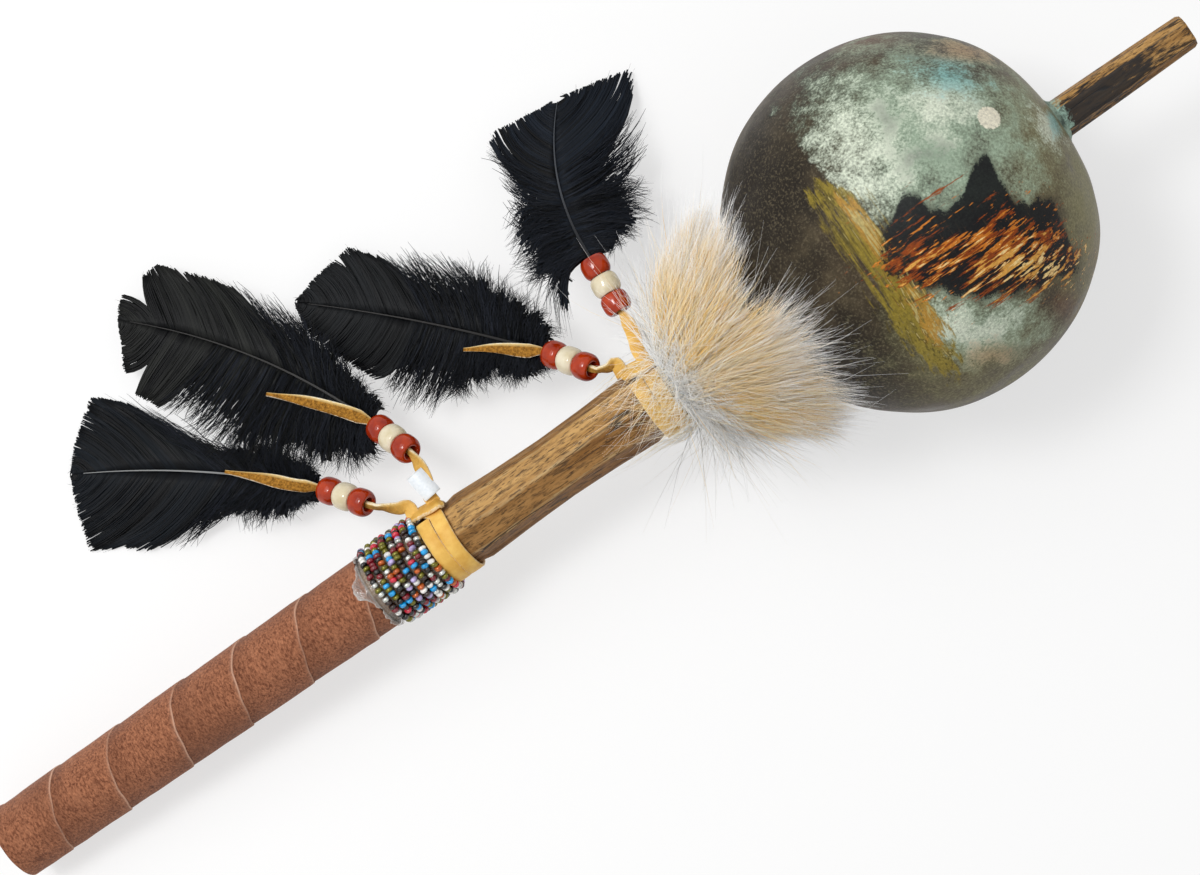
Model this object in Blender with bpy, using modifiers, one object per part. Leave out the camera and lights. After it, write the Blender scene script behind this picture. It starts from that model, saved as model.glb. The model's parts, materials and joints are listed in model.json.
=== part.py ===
"""Gourd rattle: a dried gourd on a carved stick, with a fur collar, a wrapped grip and four feather dangles.

The rattle lies as it is put down on a table: the gourd and the butt of the grip touch it, and the
feathers lie beside the stick.  +X runs along the stick towards its tip, +Y is the dangles' side and
+Z is up.  Sizes below are in millimetres; MM turns them into metres.
"""
import math

import bmesh
import bpy
from mathutils import Matrix, Vector

MM = 0.001
GAP = 0.35
SHARP_ANGLE = math.radians(40.0)

# Stick: stations are distances from the butt, with the radius over the corners of its eight flats
STICK_LENGTH = 433.0
STICK_STATIONS = (
    (0.0, 10.4), (138.0, 10.4), (173.2, 10.5), (176.0, 11.1), (190.0, 10.5), (207.0, 10.1), (224.0, 10.5),
    (237.0, 11.1), (239.4, 10.5), (252.0, 10.5), (266.0, 9.4), (281.0, 8.4), (300.0, 7.4), (386.0, 6.1),
    (416.0, 5.6), (STICK_LENGTH, 5.3),
)

# Gourd
GOURD_RADIUS = 56.0
GOURD_STATION = 335.8
GOURD_WALL = 3.8
GOURD_TOP_FLAT = 4.3
GOURD_TOP_SPREAD = math.radians(38.0)
GOURD_SEGMENTS = 32
TIP_HOLE_RADIUS = 6.6
NECK_HOLE_RADIUS = 9.0
SEAL_HEIGHT = 2.4
SEAL_WIDTH = 2.8

# Suede grip: one strip wound in a spiral and cut flush at both ends
GRIP_LENGTH = 140.0
GRIP_RADIUS = 12.2
GRIP_WALL = 1.4
GRIP_PITCH = 22.5
GRIP_SLIT = 0.5
GRIP_SEGMENTS = 24

# Band of seed beads strung on one thread, laid in glue
BAND_START = 140.7
BAND_ROWS = 8
ROW_PITCH = 2.62
SEED_BEAD = 2.1
GLUE_INNER = 10.85
GLUE_WALL = 0.35

# Leather lace, used for both ties and all four dangles
LACE_WIDTH = 4.3
LACE_THICKNESS = 1.0
TIE_INNER = 10.9
TIE_PITCH = 4.85
TIE_START_ANGLE = math.radians(40.0)
TIE_CROSSING = math.radians(25.0)
GRIP_TIE_STATION = 167.3
FUR_TIE_STATION = 244.8
GRIP_KNOT_ANGLE = math.radians(100.0)
FUR_KNOT_ANGLE = math.radians(112.0)
KNOT_SIZE = (1.9, 7.0, 9.2)
KNOT_ROUNDING = 0.7
LOOP_POINTS = 24
ROUTE_STEPS = 12

# Fur collar: station and radius along its outside, before its tufts are pulled out
FUR_OUTLINE = (
    (250.6, 13.2), (256.0, 18.0), (264.0, 25.5), (274.0, 33.0), (285.0, 38.5), (294.0, 40.5),
)
FUR_BORE = 11.0
FUR_CAVITY = 13.2
FUR_CAVITY_STATION = 272.0
FUR_CLEARANCE = 1.0
FUR_RIM_STEP = 1.0
FUR_BACK_RINGS = 5
FUR_SEGMENTS = 24
FUR_TUFTS = 3
FUR_TUFT_PULL = 0.10
FUR_SIDE_PULL = 0.08
FUR_HOLLOW_PULL = -0.06

# Rattle seeds, each in its own lane round the stick
SEED_COUNT = 11
SEED_LANE = 6.6
SEED_BED_RADIUS = 51.0
SEED_RADII = (2.5, 2.8, 2.6, 2.9, 2.4)
SEED_SQUASH = (0.82, 1.0, 0.94)

# Pony beads on the dangles
PONY_DIAMETER = 8.8
PONY_LENGTH = 6.0
PONY_BORE = 4.4
PONY_PITCH = 6.3
PONY_COUNT = 3
PONY_SHOULDER = 1.3
PONY_STEPS = 14

FEATHER_THICKNESS = 1.0
QUILL_HALF_WIDTH = 0.6
QUILL_DEPTH = 1.0
QUILL_BARE = 0.8
QUILL_DROP = 0.9
LACE_RISE = 0.8
LACE_FOLD = 0.5
TAIL_TIP = 0.3

# One entry for each dangle.  knot is where its lace leaves the tie and swings, with its flat side turned
# by twist from upright; lead and tail are the lace's own route before and after the beads; entry, yaw and
# pitch give the line of the beads.
# Feather rows are (distance from its base, half-width on its left, half-width on its right).
DANGLES = {
    "a": {
        "knot": (31.0, 14.9, 49.6), "twist": 90.0,
        "lead": ((32.2, 18.4, 49.0), (33.2, 22.6, 46.6)),
        "entry": (33.6, 27.4, 43.0), "yaw": 85.0, "pitch": -8.0,
        "tail": (),
        "feather_yaw": 65.0, "feather_drop": 35.0, "feather_slope": 0.78,
        "rows": (
            (2.0, 5.5, 6.0), (7.0, 18.0, 13.5), (14.0, 20.5, 15.5), (24.0, 20.0, 17.0), (34.0, 20.5, 18.0),
            (42.0, 23.0, 19.0), (47.5, 12.0, 20.5), (52.0, 1.0, 21.0), (55.5, -12.0, 21.5),
        ),
    },
    "b": {
        "knot": (23.4, 15.5, 46.4), "twist": 0.0,
        "lead": ((21.2, 15.6, 45.0), (19.0, 16.4, 42.8)),
        "entry": (16.8, 18.1, 39.8), "yaw": 123.6, "pitch": -38.0,
        "tail": ((3.0, 35.0, 27.4), (-4.6, 41.4, 22.6), (-12.2, 46.1, 19.2)),
        "feather_yaw": 133.7, "feather_drop": 21.5, "feather_slope": 0.44,
        "rows": (
            (2.0, 5.0, 5.0), (8.0, 11.0, 14.0), (18.0, 14.0, 20.5), (26.0, 22.0, 23.0), (36.0, 25.0, 24.0),
            (46.0, 22.0, 20.5), (58.0, 16.5, 19.5), (67.0, 11.0, 20.0), (75.0, 6.0, 11.5), (81.0, 1.0, 1.0),
        ),
    },
    "c": {
        "knot": (-45.4, 15.5, 37.4), "twist": 90.0,
        "lead": ((-43.8, 18.6, 38.2), (-42.8, 23.6, 37.0)),
        "entry": (-42.7, 28.6, 34.4), "yaw": 109.7, "pitch": -38.0,
        "tail": ((-52.6, 50.6, 22.2), (-61.6, 61.2, 19.4), (-70.2, 69.6, 17.6)),
        "feather_yaw": 123.4, "feather_drop": 14.0, "feather_slope": 0.25,
        "rows": (
            (2.0, 5.0, 5.0), (8.0, 15.0, 12.0), (18.0, 23.5, 14.8), (32.0, 26.5, 18.5), (45.0, 22.8, 20.5),
            (56.0, 19.5, 19.2), (68.0, 19.5, 20.2), (76.0, 18.0, 21.6), (83.0, 10.5, 18.0), (88.0, 1.0, 5.0),
        ),
    },
    "d": {
        "knot": (-52.8, 15.8, 35.2), "twist": 0.0,
        "lead": ((-55.8, 17.2, 33.8), (-59.3, 19.8, 30.6)),
        "entry": (-62.9, 23.2, 26.4), "yaw": 127.4, "pitch": -32.0,
        "tail": ((-79.4, 42.0, 16.2), (-87.4, 50.2, 13.2), (-95.1, 57.6, 11.0)),
        "feather_yaw": 142.4, "feather_drop": 13.6, "feather_slope": 0.29,
        "rows": (
            (2.0, 4.5, 4.5), (8.0, 9.0, 10.5), (17.0, 10.8, 14.0), (27.0, 10.0, 12.5), (34.0, 9.0, 10.5),
            (42.0, 17.5, 11.0), (53.0, 21.5, 16.0), (63.0, 22.5, 21.5), (71.0, 22.5, 24.5), (76.5, 11.5, 20.0),
            (80.5, 1.0, 2.0),
        ),
    },
}

TAG_SIZE = (8.0, 6.4, 0.5)
TAG_CENTRE = (-44.6, 19.6, 39.9)
TAG_TILT = (math.radians(-8.0), math.radians(4.0), math.radians(62.0))

# Outer reach of the gourd's corners, so that its lowest facet lies on the table
FACET = 2.0 * math.pi / GOURD_SEGMENTS
GOURD_REACH = GOURD_RADIUS / math.cos(FACET / 2.0) ** 2
GRIP_FLAT = GRIP_RADIUS * math.cos(math.pi / GRIP_SEGMENTS)

# The stick leans so that both the gourd and the butt rest on the table
CONTACT_SPAN = math.hypot(GOURD_STATION, GRIP_FLAT)
STICK_TILT = math.asin(GOURD_RADIUS / CONTACT_SPAN) - math.atan2(GRIP_FLAT, GOURD_STATION)
BUTT_HEIGHT = GRIP_FLAT * math.cos(STICK_TILT)
TIP_RADIUS = STICK_STATIONS[-1][1]
BUTT_X = -(STICK_LENGTH * math.cos(STICK_TILT) + (TIP_RADIUS - GRIP_RADIUS) * math.sin(STICK_TILT)) / 2.0


def clear_scene():
    """Remove what the file holds, so that the model starts empty."""
    for item in list(bpy.data.objects):
        bpy.data.objects.remove(item, do_unlink=True)


def paint(name, colour, roughness, metallic=0.0):
    """Make one plain material from an sRGB colour."""
    made = bpy.data.materials.new(name)
    made.use_nodes = True
    shader = made.node_tree.nodes["Principled BSDF"]
    linear = [((c + 0.055) / 1.055) ** 2.4 if c > 0.04045 else c / 12.92 for c in colour]
    shader.inputs["Base Color"].default_value = (*linear, 1.0)
    shader.inputs["Roughness"].default_value = roughness
    shader.inputs["Metallic"].default_value = metallic
    return made


def place(item, collection, finish, parent=None):
    """Link an object, give it its material and hang it on its parent."""
    collection.objects.link(item)
    item.data.materials.append(finish)
    item.parent = parent
    return item


def frame_empty(name, collection, location, rotation=(0.0, 0.0, 0.0)):
    """Add an empty that carries a group of pieces."""
    empty = bpy.data.objects.new(name, None)
    empty.location = Vector(location) * MM
    empty.rotation_euler = rotation
    collection.objects.link(empty)
    return empty


def mesh_object(name, bm):
    """Turn a bmesh into an object, shaded smooth but for its sharp edges."""
    mesh = bpy.data.meshes.new(name)
    bm.to_mesh(mesh)
    bm.free()
    mesh.shade_smooth()
    mesh.set_sharp_from_angle(angle=SHARP_ANGLE)
    return bpy.data.objects.new(name, mesh)


def turned(name, profile, steps):
    """Turn a closed profile of (radius, station) about the local Z axis."""
    bm = bmesh.new()
    corners = [bm.verts.new((radius * MM, 0.0, station * MM)) for radius, station in profile]
    for first, second in zip(corners, corners[1:] + corners[:1]):
        bm.edges.new((first, second))
    item = mesh_object(name, bm)
    screw = item.modifiers.new("turning", "SCREW")
    screw.axis = "Z"
    screw.angle = 2.0 * math.pi
    screw.steps = steps
    screw.render_steps = steps
    screw.merge_threshold = 0.00001
    return item


def evaluated_bmesh(item):
    """Read an object with its modifiers applied into a bmesh, and remove the object."""
    bpy.context.scene.collection.objects.link(item)
    depsgraph = bpy.context.evaluated_depsgraph_get()
    mesh = bpy.data.meshes.new_from_object(item.evaluated_get(depsgraph))
    bpy.data.objects.remove(item, do_unlink=True)
    bm = bmesh.new()
    bm.from_mesh(mesh)
    bpy.data.meshes.remove(mesh)
    bmesh.ops.remove_doubles(bm, verts=bm.verts, dist=0.000001)
    return bm


def smooth_route(points, spacing):
    """Read points at an even spacing from a smooth curve through a hand-laid route."""
    knots = [Vector(p) for p in points]
    padded = [2 * knots[0] - knots[1], *knots, 2 * knots[-1] - knots[-2]]
    dense = []
    for i in range(1, len(padded) - 2):
        p0, p1, p2, p3 = padded[i - 1:i + 3]
        for k in range(ROUTE_STEPS):
            u = k / ROUTE_STEPS
            dense.append(0.5 * (2 * p1 + (p2 - p0) * u + (2 * p0 - 5 * p1 + 4 * p2 - p3) * u ** 2
                                + (3 * p1 - p0 - 3 * p2 + p3) * u ** 3))
    dense.append(knots[-1])
    lengths = [0.0]
    for first, second in zip(dense, dense[1:]):
        lengths.append(lengths[-1] + (second - first).length)
    count = max(2, round(lengths[-1] / spacing))
    route, at = [], 0
    for k in range(count + 1):
        goal = lengths[-1] * k / count
        while at < len(dense) - 2 and lengths[at + 1] < goal:
            at += 1
        share = (goal - lengths[at]) / (lengths[at + 1] - lengths[at])
        route.append(dense[at].lerp(dense[at + 1], min(1.0, share)))
    return route


def tube(name, points, radii, section, resolution, tilts=None):
    """Sweep a round or flat section along points, with a radius factor and a turn at each of them."""
    curve = bpy.data.curves.new(name, "CURVE")
    curve.dimensions = "3D"
    curve.twist_mode = "Z_UP"
    curve.use_fill_caps = True
    curve.bevel_resolution = resolution
    curve.extrude, curve.bevel_depth = section
    spline = curve.splines.new("POLY")
    spline.points.add(len(points) - 1)
    for target, point, radius, tilt in zip(spline.points, points, radii, tilts or [0.0] * len(points)):
        target.co = (*(Vector(point) * MM), 1.0)
        target.radius = radius
        target.tilt = tilt
    return bpy.data.objects.new(name, curve)


def lace_section():
    """Half-sizes of the flat lace: the straight half of its width and the half of its thickness."""
    return ((LACE_WIDTH - LACE_THICKNESS) / 2.0 * MM, LACE_THICKNESS / 2.0 * MM)


def loop_gap(points, width):
    """Least gap between one turn of a winding and the next, measured between its own points."""
    apart = LOOP_POINTS // 2
    least = min((Vector(p) - Vector(q)).length for i, p in enumerate(points) for q in points[i + apart:])
    return least - width


def gourd_reach(polar):
    """Distance from the gourd's centre to its outside, at an angle from the tip's direction."""
    return GOURD_REACH - GOURD_TOP_FLAT * math.exp(-(polar / GOURD_TOP_SPREAD) ** 2)


def gourd_point(polar, depth=0.0):
    """Radius and station of a point on the gourd's outside, or a depth below it."""
    reach = gourd_reach(polar) - depth
    return reach * math.sin(polar), GOURD_STATION + reach * math.cos(polar)


def neck_station(radius, clearance):
    """Station just below the gourd's underside, at a distance from the stick's line."""
    return GOURD_STATION - math.sqrt((GOURD_REACH + clearance) ** 2 - radius ** 2)


def gourd_rings():
    """Polar angles of the gourd's rings: one band of facets faces straight down."""
    low = math.asin(TIP_HOLE_RADIUS / (GOURD_REACH - GOURD_TOP_FLAT))
    high = math.pi - math.asin(NECK_HOLE_RADIUS / GOURD_REACH)
    contact = math.pi / 2.0 + STICK_TILT
    steps = range(-GOURD_SEGMENTS, GOURD_SEGMENTS)
    inner = [contact + (k + 0.5) * FACET for k in steps]
    return [low, *[a for a in inner if low + FACET / 4.0 < a < high - FACET / 4.0], high]


def make_stick(collection, axis):
    """Carved stick with eight flats, waisted between the ties and slim through the gourd."""
    points = [(0.0, 0.0, station) for station, _ in STICK_STATIONS]
    radii = [radius for _, radius in STICK_STATIONS]
    item = tube("stick", points, radii, (0.0, MM), 2)
    item.data.twist_mode = "MINIMUM"
    place(item, collection, paint("carved_wood", (0.62, 0.46, 0.25), 0.6), axis)


def make_gourd(collection, axis):
    """Dried gourd shell, open at both ends where the stick passes through."""
    rings = gourd_rings()
    outside = [gourd_point(angle) for angle in rings]
    inside = [gourd_point(angle, GOURD_WALL) for angle in reversed(rings)]
    inside[0] = (NECK_HOLE_RADIUS, inside[0][1])
    inside[-1] = (TIP_HOLE_RADIUS, inside[-1][1])
    item = turned("gourd_shell", outside + inside, GOURD_SEGMENTS)
    item.rotation_euler.z = FACET / 2.0
    place(item, collection, paint("painted_gourd", (0.30, 0.27, 0.21), 0.4), axis)


def make_seals(collection, axis):
    """Rings of filler where the stick goes into the gourd and where it comes out."""
    tip_low = gourd_point(math.asin(TIP_HOLE_RADIUS / (GOURD_REACH - GOURD_TOP_FLAT)))[1] + GAP
    tip_ring = ((TIP_HOLE_RADIUS, tip_low + SEAL_HEIGHT), (TIP_HOLE_RADIUS + SEAL_WIDTH, tip_low),
                (TIP_HOLE_RADIUS, tip_low))
    tip_seal = turned("tip_seal", tip_ring, GRIP_SEGMENTS)
    place(tip_seal, collection, paint("tip_filler", (0.62, 0.76, 0.66), 0.5), axis)
    rim = NECK_HOLE_RADIUS + SEAL_WIDTH
    neck_ring = ((NECK_HOLE_RADIUS, neck_station(NECK_HOLE_RADIUS, GAP)), (rim, neck_station(rim, GAP)),
                 (NECK_HOLE_RADIUS, neck_station(NECK_HOLE_RADIUS, GAP) - SEAL_HEIGHT))
    neck_seal = turned("neck_seal", neck_ring, GRIP_SEGMENTS)
    place(neck_seal, collection, paint("neck_filler", (0.45, 0.38, 0.28), 0.6), axis)


def make_seeds(collection, axis):
    """Loose seeds in the gourd, lying along its lowest line."""
    finish = paint("dry_seed", (0.55, 0.40, 0.22), 0.5)
    for k in range(SEED_COUNT):
        radius = SEED_RADII[k % len(SEED_RADII)]
        along = (k - (SEED_COUNT - 1) / 2.0) * SEED_LANE
        out = math.sqrt((SEED_BED_RADIUS - radius) ** 2 - along ** 2)
        bm = bmesh.new()
        bmesh.ops.create_icosphere(bm, subdivisions=2, radius=radius * MM)
        bmesh.ops.scale(bm, vec=SEED_SQUASH, verts=bm.verts)
        item = mesh_object(f"seed_{k + 1:02d}", bm)
        item.location = Vector((out, 0.0, GOURD_STATION + along)) * MM
        place(item, collection, finish, axis)


def make_fur(collection, axis):
    """Fur collar: a flared bell that clears the gourd, with its tufts pulled out on the dangles' side."""
    rim_radius = FUR_OUTLINE[-1][1] - FUR_RIM_STEP
    back_step = (rim_radius - FUR_CAVITY) / (FUR_BACK_RINGS - 1)
    back = [rim_radius - back_step * k for k in range(FUR_BACK_RINGS)]
    profile = [(radius, neck_station(radius, FUR_CLEARANCE)) for radius in back[::-1]]
    profile += [(radius, station) for station, radius in reversed(FUR_OUTLINE)]
    profile += [(FUR_BORE, FUR_OUTLINE[0][0]), (FUR_BORE, FUR_CAVITY_STATION), (FUR_CAVITY, FUR_CAVITY_STATION)]
    bm = evaluated_bmesh(turned("fur_collar", profile, FUR_SEGMENTS))
    start, end = FUR_OUTLINE[0][0] * MM, FUR_OUTLINE[-1][0] * MM
    for vert in bm.verts:
        radius = math.hypot(vert.co.x, vert.co.y)
        if radius < (FUR_CAVITY + GAP) * MM:
            continue
        angle = math.atan2(vert.co.y, vert.co.x)
        share = min(1.0, (vert.co.z - start) / (end - start))
        pull = FUR_TUFT_PULL * math.cos(FUR_TUFTS * (angle - math.pi / 2.0)) + FUR_SIDE_PULL * math.sin(angle)
        grown = radius * (1.0 + max(FUR_HOLLOW_PULL, pull) * share)
        vert.co.x *= grown / radius
        vert.co.y *= grown / radius
        vert.co.z = min(vert.co.z, neck_station(grown / MM, FUR_CLEARANCE) * MM)
    place(mesh_object("fur_collar", bm), collection, paint("fur", (0.80, 0.72, 0.58), 0.9), axis)


def make_grip(collection, axis):
    """Suede strip wound along the handle, cut flush with the butt and with the bead band."""
    turns = math.ceil(GRIP_LENGTH / GRIP_PITCH) + 2
    low, high = -GRIP_PITCH, -GRIP_SLIT
    inner = GRIP_RADIUS - GRIP_WALL
    strip = ((GRIP_RADIUS, high), (GRIP_RADIUS, low), (inner, low), (inner, high))
    item = turned("grip_wrap", strip, GRIP_SEGMENTS)
    item.modifiers["turning"].angle = -2.0 * math.pi
    item.modifiers["turning"].screw_offset = GRIP_PITCH * MM
    item.modifiers["turning"].iterations = turns
    bm = evaluated_bmesh(item)
    for station, outward in ((0.0, -1.0), (GRIP_LENGTH, 1.0)):
        cut = bmesh.ops.bisect_plane(bm, geom=bm.verts[:] + bm.edges[:] + bm.faces[:], clear_outer=True,
                                     plane_co=(0.0, 0.0, station * MM), plane_no=(0.0, 0.0, outward))
        bmesh.ops.edgenet_fill(bm, edges=[e for e in cut["geom_cut"] if isinstance(e, bmesh.types.BMEdge)])
    bmesh.ops.recalc_face_normals(bm, faces=bm.faces)
    bmesh.ops.rotate(bm, verts=bm.verts, matrix=Matrix.Rotation(math.pi / GRIP_SEGMENTS, 3, "Z"))
    place(mesh_object("grip_wrap", bm), collection, paint("suede", (0.60, 0.36, 0.25), 0.95), axis)
    print(f"grip_wrap: least gap between turns {GRIP_SLIT:.2f} mm")


def make_bead_band(collection, axis):
    """Glue film on the stick and the strand of seed beads wound over it."""
    glue_outer = GLUE_INNER + GLUE_WALL
    band_end = BAND_START + BAND_ROWS * ROW_PITCH
    glue = turned("glue_bed", ((glue_outer, band_end), (glue_outer, BAND_START), (GLUE_INNER, BAND_START),
                               (GLUE_INNER, band_end)), GRIP_SEGMENTS)
    place(glue, collection, paint("clear_glue", (0.70, 0.66, 0.58), 0.2), axis)
    radius = glue_outer + GAP + SEED_BEAD / 2.0
    turns = BAND_ROWS - 0.5
    first = BAND_START + SEED_BEAD / 2.0 + GAP
    points = []
    for k in range(int(turns * LOOP_POINTS) + 1):
        angle = 2.0 * math.pi * k / LOOP_POINTS
        points.append((radius * math.cos(angle), radius * math.sin(angle), first + ROW_PITCH * k / LOOP_POINTS))
    strand = tube("bead_strand", points, [1.0] * len(points), (0.0, SEED_BEAD / 2.0 * MM), 1)
    place(strand, collection, paint("seed_beads", (0.25, 0.45, 0.62), 0.15), axis)
    print(f"bead_strand: least gap between turns {loop_gap(points, SEED_BEAD):.2f} mm")


def make_tie(collection, axis, name, station, knot_angle):
    """Flat lace round the stick: two turns that step over beneath a flat knot."""
    radius = TIE_INNER + LACE_THICKNESS / 2.0
    start = knot_angle + TIE_START_ANGLE
    sweep = 4.0 * math.pi - 2.0 * TIE_START_ANGLE
    crossing = knot_angle + 2.0 * math.pi
    count = round(sweep / (2.0 * math.pi) * LOOP_POINTS)
    points = []
    for k in range(count + 1):
        angle = start + sweep * k / count
        share = min(1.0, max(0.0, (angle - crossing) / (2.0 * TIE_CROSSING) + 0.5))
        step = share * share * (3.0 - 2.0 * share) - 0.5
        points.append((radius * math.cos(angle), radius * math.sin(angle), station + TIE_PITCH * step))
    lace = tube(f"{name}_lace", points, [1.0] * len(points), lace_section(), 0)
    leather = paint(f"{name}_leather", (0.87, 0.66, 0.30), 0.6)
    place(lace, collection, leather, axis)
    print(f"{name}_lace: least gap between turns {loop_gap(points, LACE_WIDTH):.2f} mm")
    bm = bmesh.new()
    bmesh.ops.create_cube(bm, size=1.0)
    bmesh.ops.scale(bm, vec=Vector(KNOT_SIZE) * MM, verts=bm.verts)
    knot = mesh_object(f"{name}_knot", bm)
    out = TIE_INNER + LACE_THICKNESS + 2.0 * GAP + KNOT_SIZE[0] / 2.0
    knot.location = Vector((out * math.cos(knot_angle), out * math.sin(knot_angle), station)) * MM
    knot.rotation_euler.z = knot_angle
    rounding = knot.modifiers.new("rounding", "BEVEL")
    rounding.width = KNOT_ROUNDING * MM
    rounding.segments = 2
    place(knot, collection, leather, axis)


def bead_profile():
    """Barrel of a pony bead with its bore, turned about its own length."""
    half, outer, bore = PONY_LENGTH / 2.0, PONY_DIAMETER / 2.0, PONY_BORE / 2.0
    arc = [(outer - PONY_SHOULDER * (1.0 - math.cos(k * math.pi / 6.0)), half * math.sin(k * math.pi / 6.0))
           for k in range(3, -4, -1)]
    return [*arc, (bore, -half), (bore, half)]


def make_feather(collection, pivot, name, spec, base):
    """Feather: a thin vane with its quill stub, bent down to the table along its length."""
    quill = [(along, QUILL_HALF_WIDTH, QUILL_HALF_WIDTH) for along in (-QUILL_DEPTH, QUILL_BARE)]
    rows = (*quill, *spec["rows"])
    length = rows[-1][0]
    slope, drop = spec["feather_slope"], spec["feather_drop"]
    bm = bmesh.new()
    bmesh.ops.create_grid(bm, x_segments=len(rows) - 1, y_segments=2, size=1.0)
    for vert in bm.verts:
        at = round((vert.co.x + 1.0) / 2.0 * (len(rows) - 1))
        side = round(vert.co.y)
        along, left, right = rows[at]
        across = {1: left, 0: (left - right) / 2.0 if left < 0.0 else 0.0, -1: -right}[side]
        sink = slope * along + (drop / length - slope) * along * abs(along) / length
        vert.co = Vector((along, across, -sink)) * MM
    item = mesh_object(name, bm)
    item.location = (base - Vector(spec["knot"])) * MM
    item.rotation_euler.z = math.radians(spec["feather_yaw"])
    skin = item.modifiers.new("vane", "SOLIDIFY")
    skin.thickness = FEATHER_THICKNESS * MM
    skin.offset = 0.0
    place(item, collection, paint(name, (0.06, 0.06, 0.07), 0.45), pivot)


def make_dangle(collection, key, spec):
    """One dangle: lace, three beads and a feather, hung on the empty at its knot."""
    pivot = frame_empty(f"dangle_{key}_pivot", collection, spec["knot"])
    yaw, pitch = math.radians(spec["yaw"]), math.radians(spec["pitch"])
    along = Vector((math.cos(yaw) * math.cos(pitch), math.sin(yaw) * math.cos(pitch), math.sin(pitch)))
    above = Vector((-math.cos(yaw) * math.sin(pitch), -math.sin(yaw) * math.sin(pitch), math.cos(pitch)))
    entry = Vector(spec["entry"])
    stack = PONY_PITCH * PONY_COUNT
    colours = ((0.69, 0.23, 0.11), (0.90, 0.86, 0.75), (0.69, 0.23, 0.11))
    for k, colour in enumerate(colours):
        bead = turned(f"bead_{key}{k + 1}", bead_profile(), PONY_STEPS)
        bead.location = (entry + along * (PONY_PITCH * (k + 0.5)) - Vector(spec["knot"])) * MM
        bead.rotation_euler = along.to_track_quat("Z", "Y").to_euler()
        place(bead, collection, paint(bead.name, colour, 0.2), pivot)
    lift = above * LACE_RISE
    inside = [entry + lift + along * (stack * share) for share in (0.0, 0.5, 1.0)]
    points = [Vector(spec["knot"]), *map(Vector, spec["lead"]), *inside, *map(Vector, spec["tail"])]
    route = smooth_route(points, LACE_WIDTH)
    radii = [lace_factor((p - entry).dot(along), stack) for p in route]
    if spec["tail"]:
        radii[-1] = TAIL_TIP
    lead_length = (entry - Vector(spec["knot"])).length
    flat, twist = math.pi / 2.0, math.radians(spec["twist"])
    laid = [min(1.0, max(0.0, 1.0 + (p - entry).dot(along) / lead_length)) for p in route]
    tilts = [twist + (flat - twist) * share for share in laid]
    lace = tube(f"lace_{key}", [p - Vector(spec["knot"]) for p in route], radii, lace_section(), 0, tilts)
    place(lace, collection, paint(lace.name, (0.85, 0.64, 0.28), 0.7), pivot)
    base = entry + along * (stack + 2.0 * GAP) - above * QUILL_DROP
    make_feather(collection, pivot, f"feather_{key}", spec, base)
    return pivot


def lace_factor(distance, stack):
    """Width of the lace as a share of its full width: it is folded where it runs through the beads."""
    outside = max(-distance, distance - stack, 0.0)
    return min(1.0, LACE_FOLD + (1.0 - LACE_FOLD) * max(0.0, outside - LACE_WIDTH / 2.0) / LACE_WIDTH)


def make_tag(collection, pivot, knot):
    """Small blank paper tag folded round the lace of one dangle."""
    bm = bmesh.new()
    bmesh.ops.create_cube(bm, size=1.0)
    bmesh.ops.scale(bm, vec=Vector(TAG_SIZE) * MM, verts=bm.verts)
    item = mesh_object("blank_tag", bm)
    item.location = (Vector(TAG_CENTRE) - Vector(knot)) * MM
    item.rotation_euler = TAG_TILT
    place(item, collection, paint("tag_paper", (0.92, 0.94, 0.96), 0.6), pivot)


def main():
    clear_scene()
    collection = bpy.data.collections.new("gourd_rattle")
    bpy.context.scene.collection.children.link(collection)
    lean = (0.0, math.pi / 2.0 - STICK_TILT, 0.0)
    axis = frame_empty("stick_axis", collection, (BUTT_X, 0.0, BUTT_HEIGHT), lean)
    make_stick(collection, axis)
    make_gourd(collection, axis)
    make_seals(collection, axis)
    make_seeds(collection, axis)
    make_fur(collection, axis)
    make_grip(collection, axis)
    make_bead_band(collection, axis)
    make_tie(collection, axis, "grip", GRIP_TIE_STATION, GRIP_KNOT_ANGLE)
    make_tie(collection, axis, "fur", FUR_TIE_STATION, FUR_KNOT_ANGLE)
    pivots = {key: make_dangle(collection, key, spec) for key, spec in DANGLES.items()}
    make_tag(collection, pivots["c"], DANGLES["c"]["knot"])
    print(f"stick: leans {math.degrees(STICK_TILT):.3f} deg from butt at x {BUTT_X:.3f} z {BUTT_HEIGHT:.3f} mm")


main()
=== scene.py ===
"""Looks of the gourd rattle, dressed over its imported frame.

Lengths are in millimetres and MM turns them into metres.  A station is a distance along the stick from
its butt.  An angle round the stick is 0 underneath, 90 degrees on the dangles' side and 180 on top.
"""
import json
import logging
import math
from dataclasses import astuple, dataclass
from enum import Enum
from functools import cached_property
from typing import Callable, ClassVar, Sequence

import bmesh
import bpy
import numpy as np
from mathutils import Matrix, Vector


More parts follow.
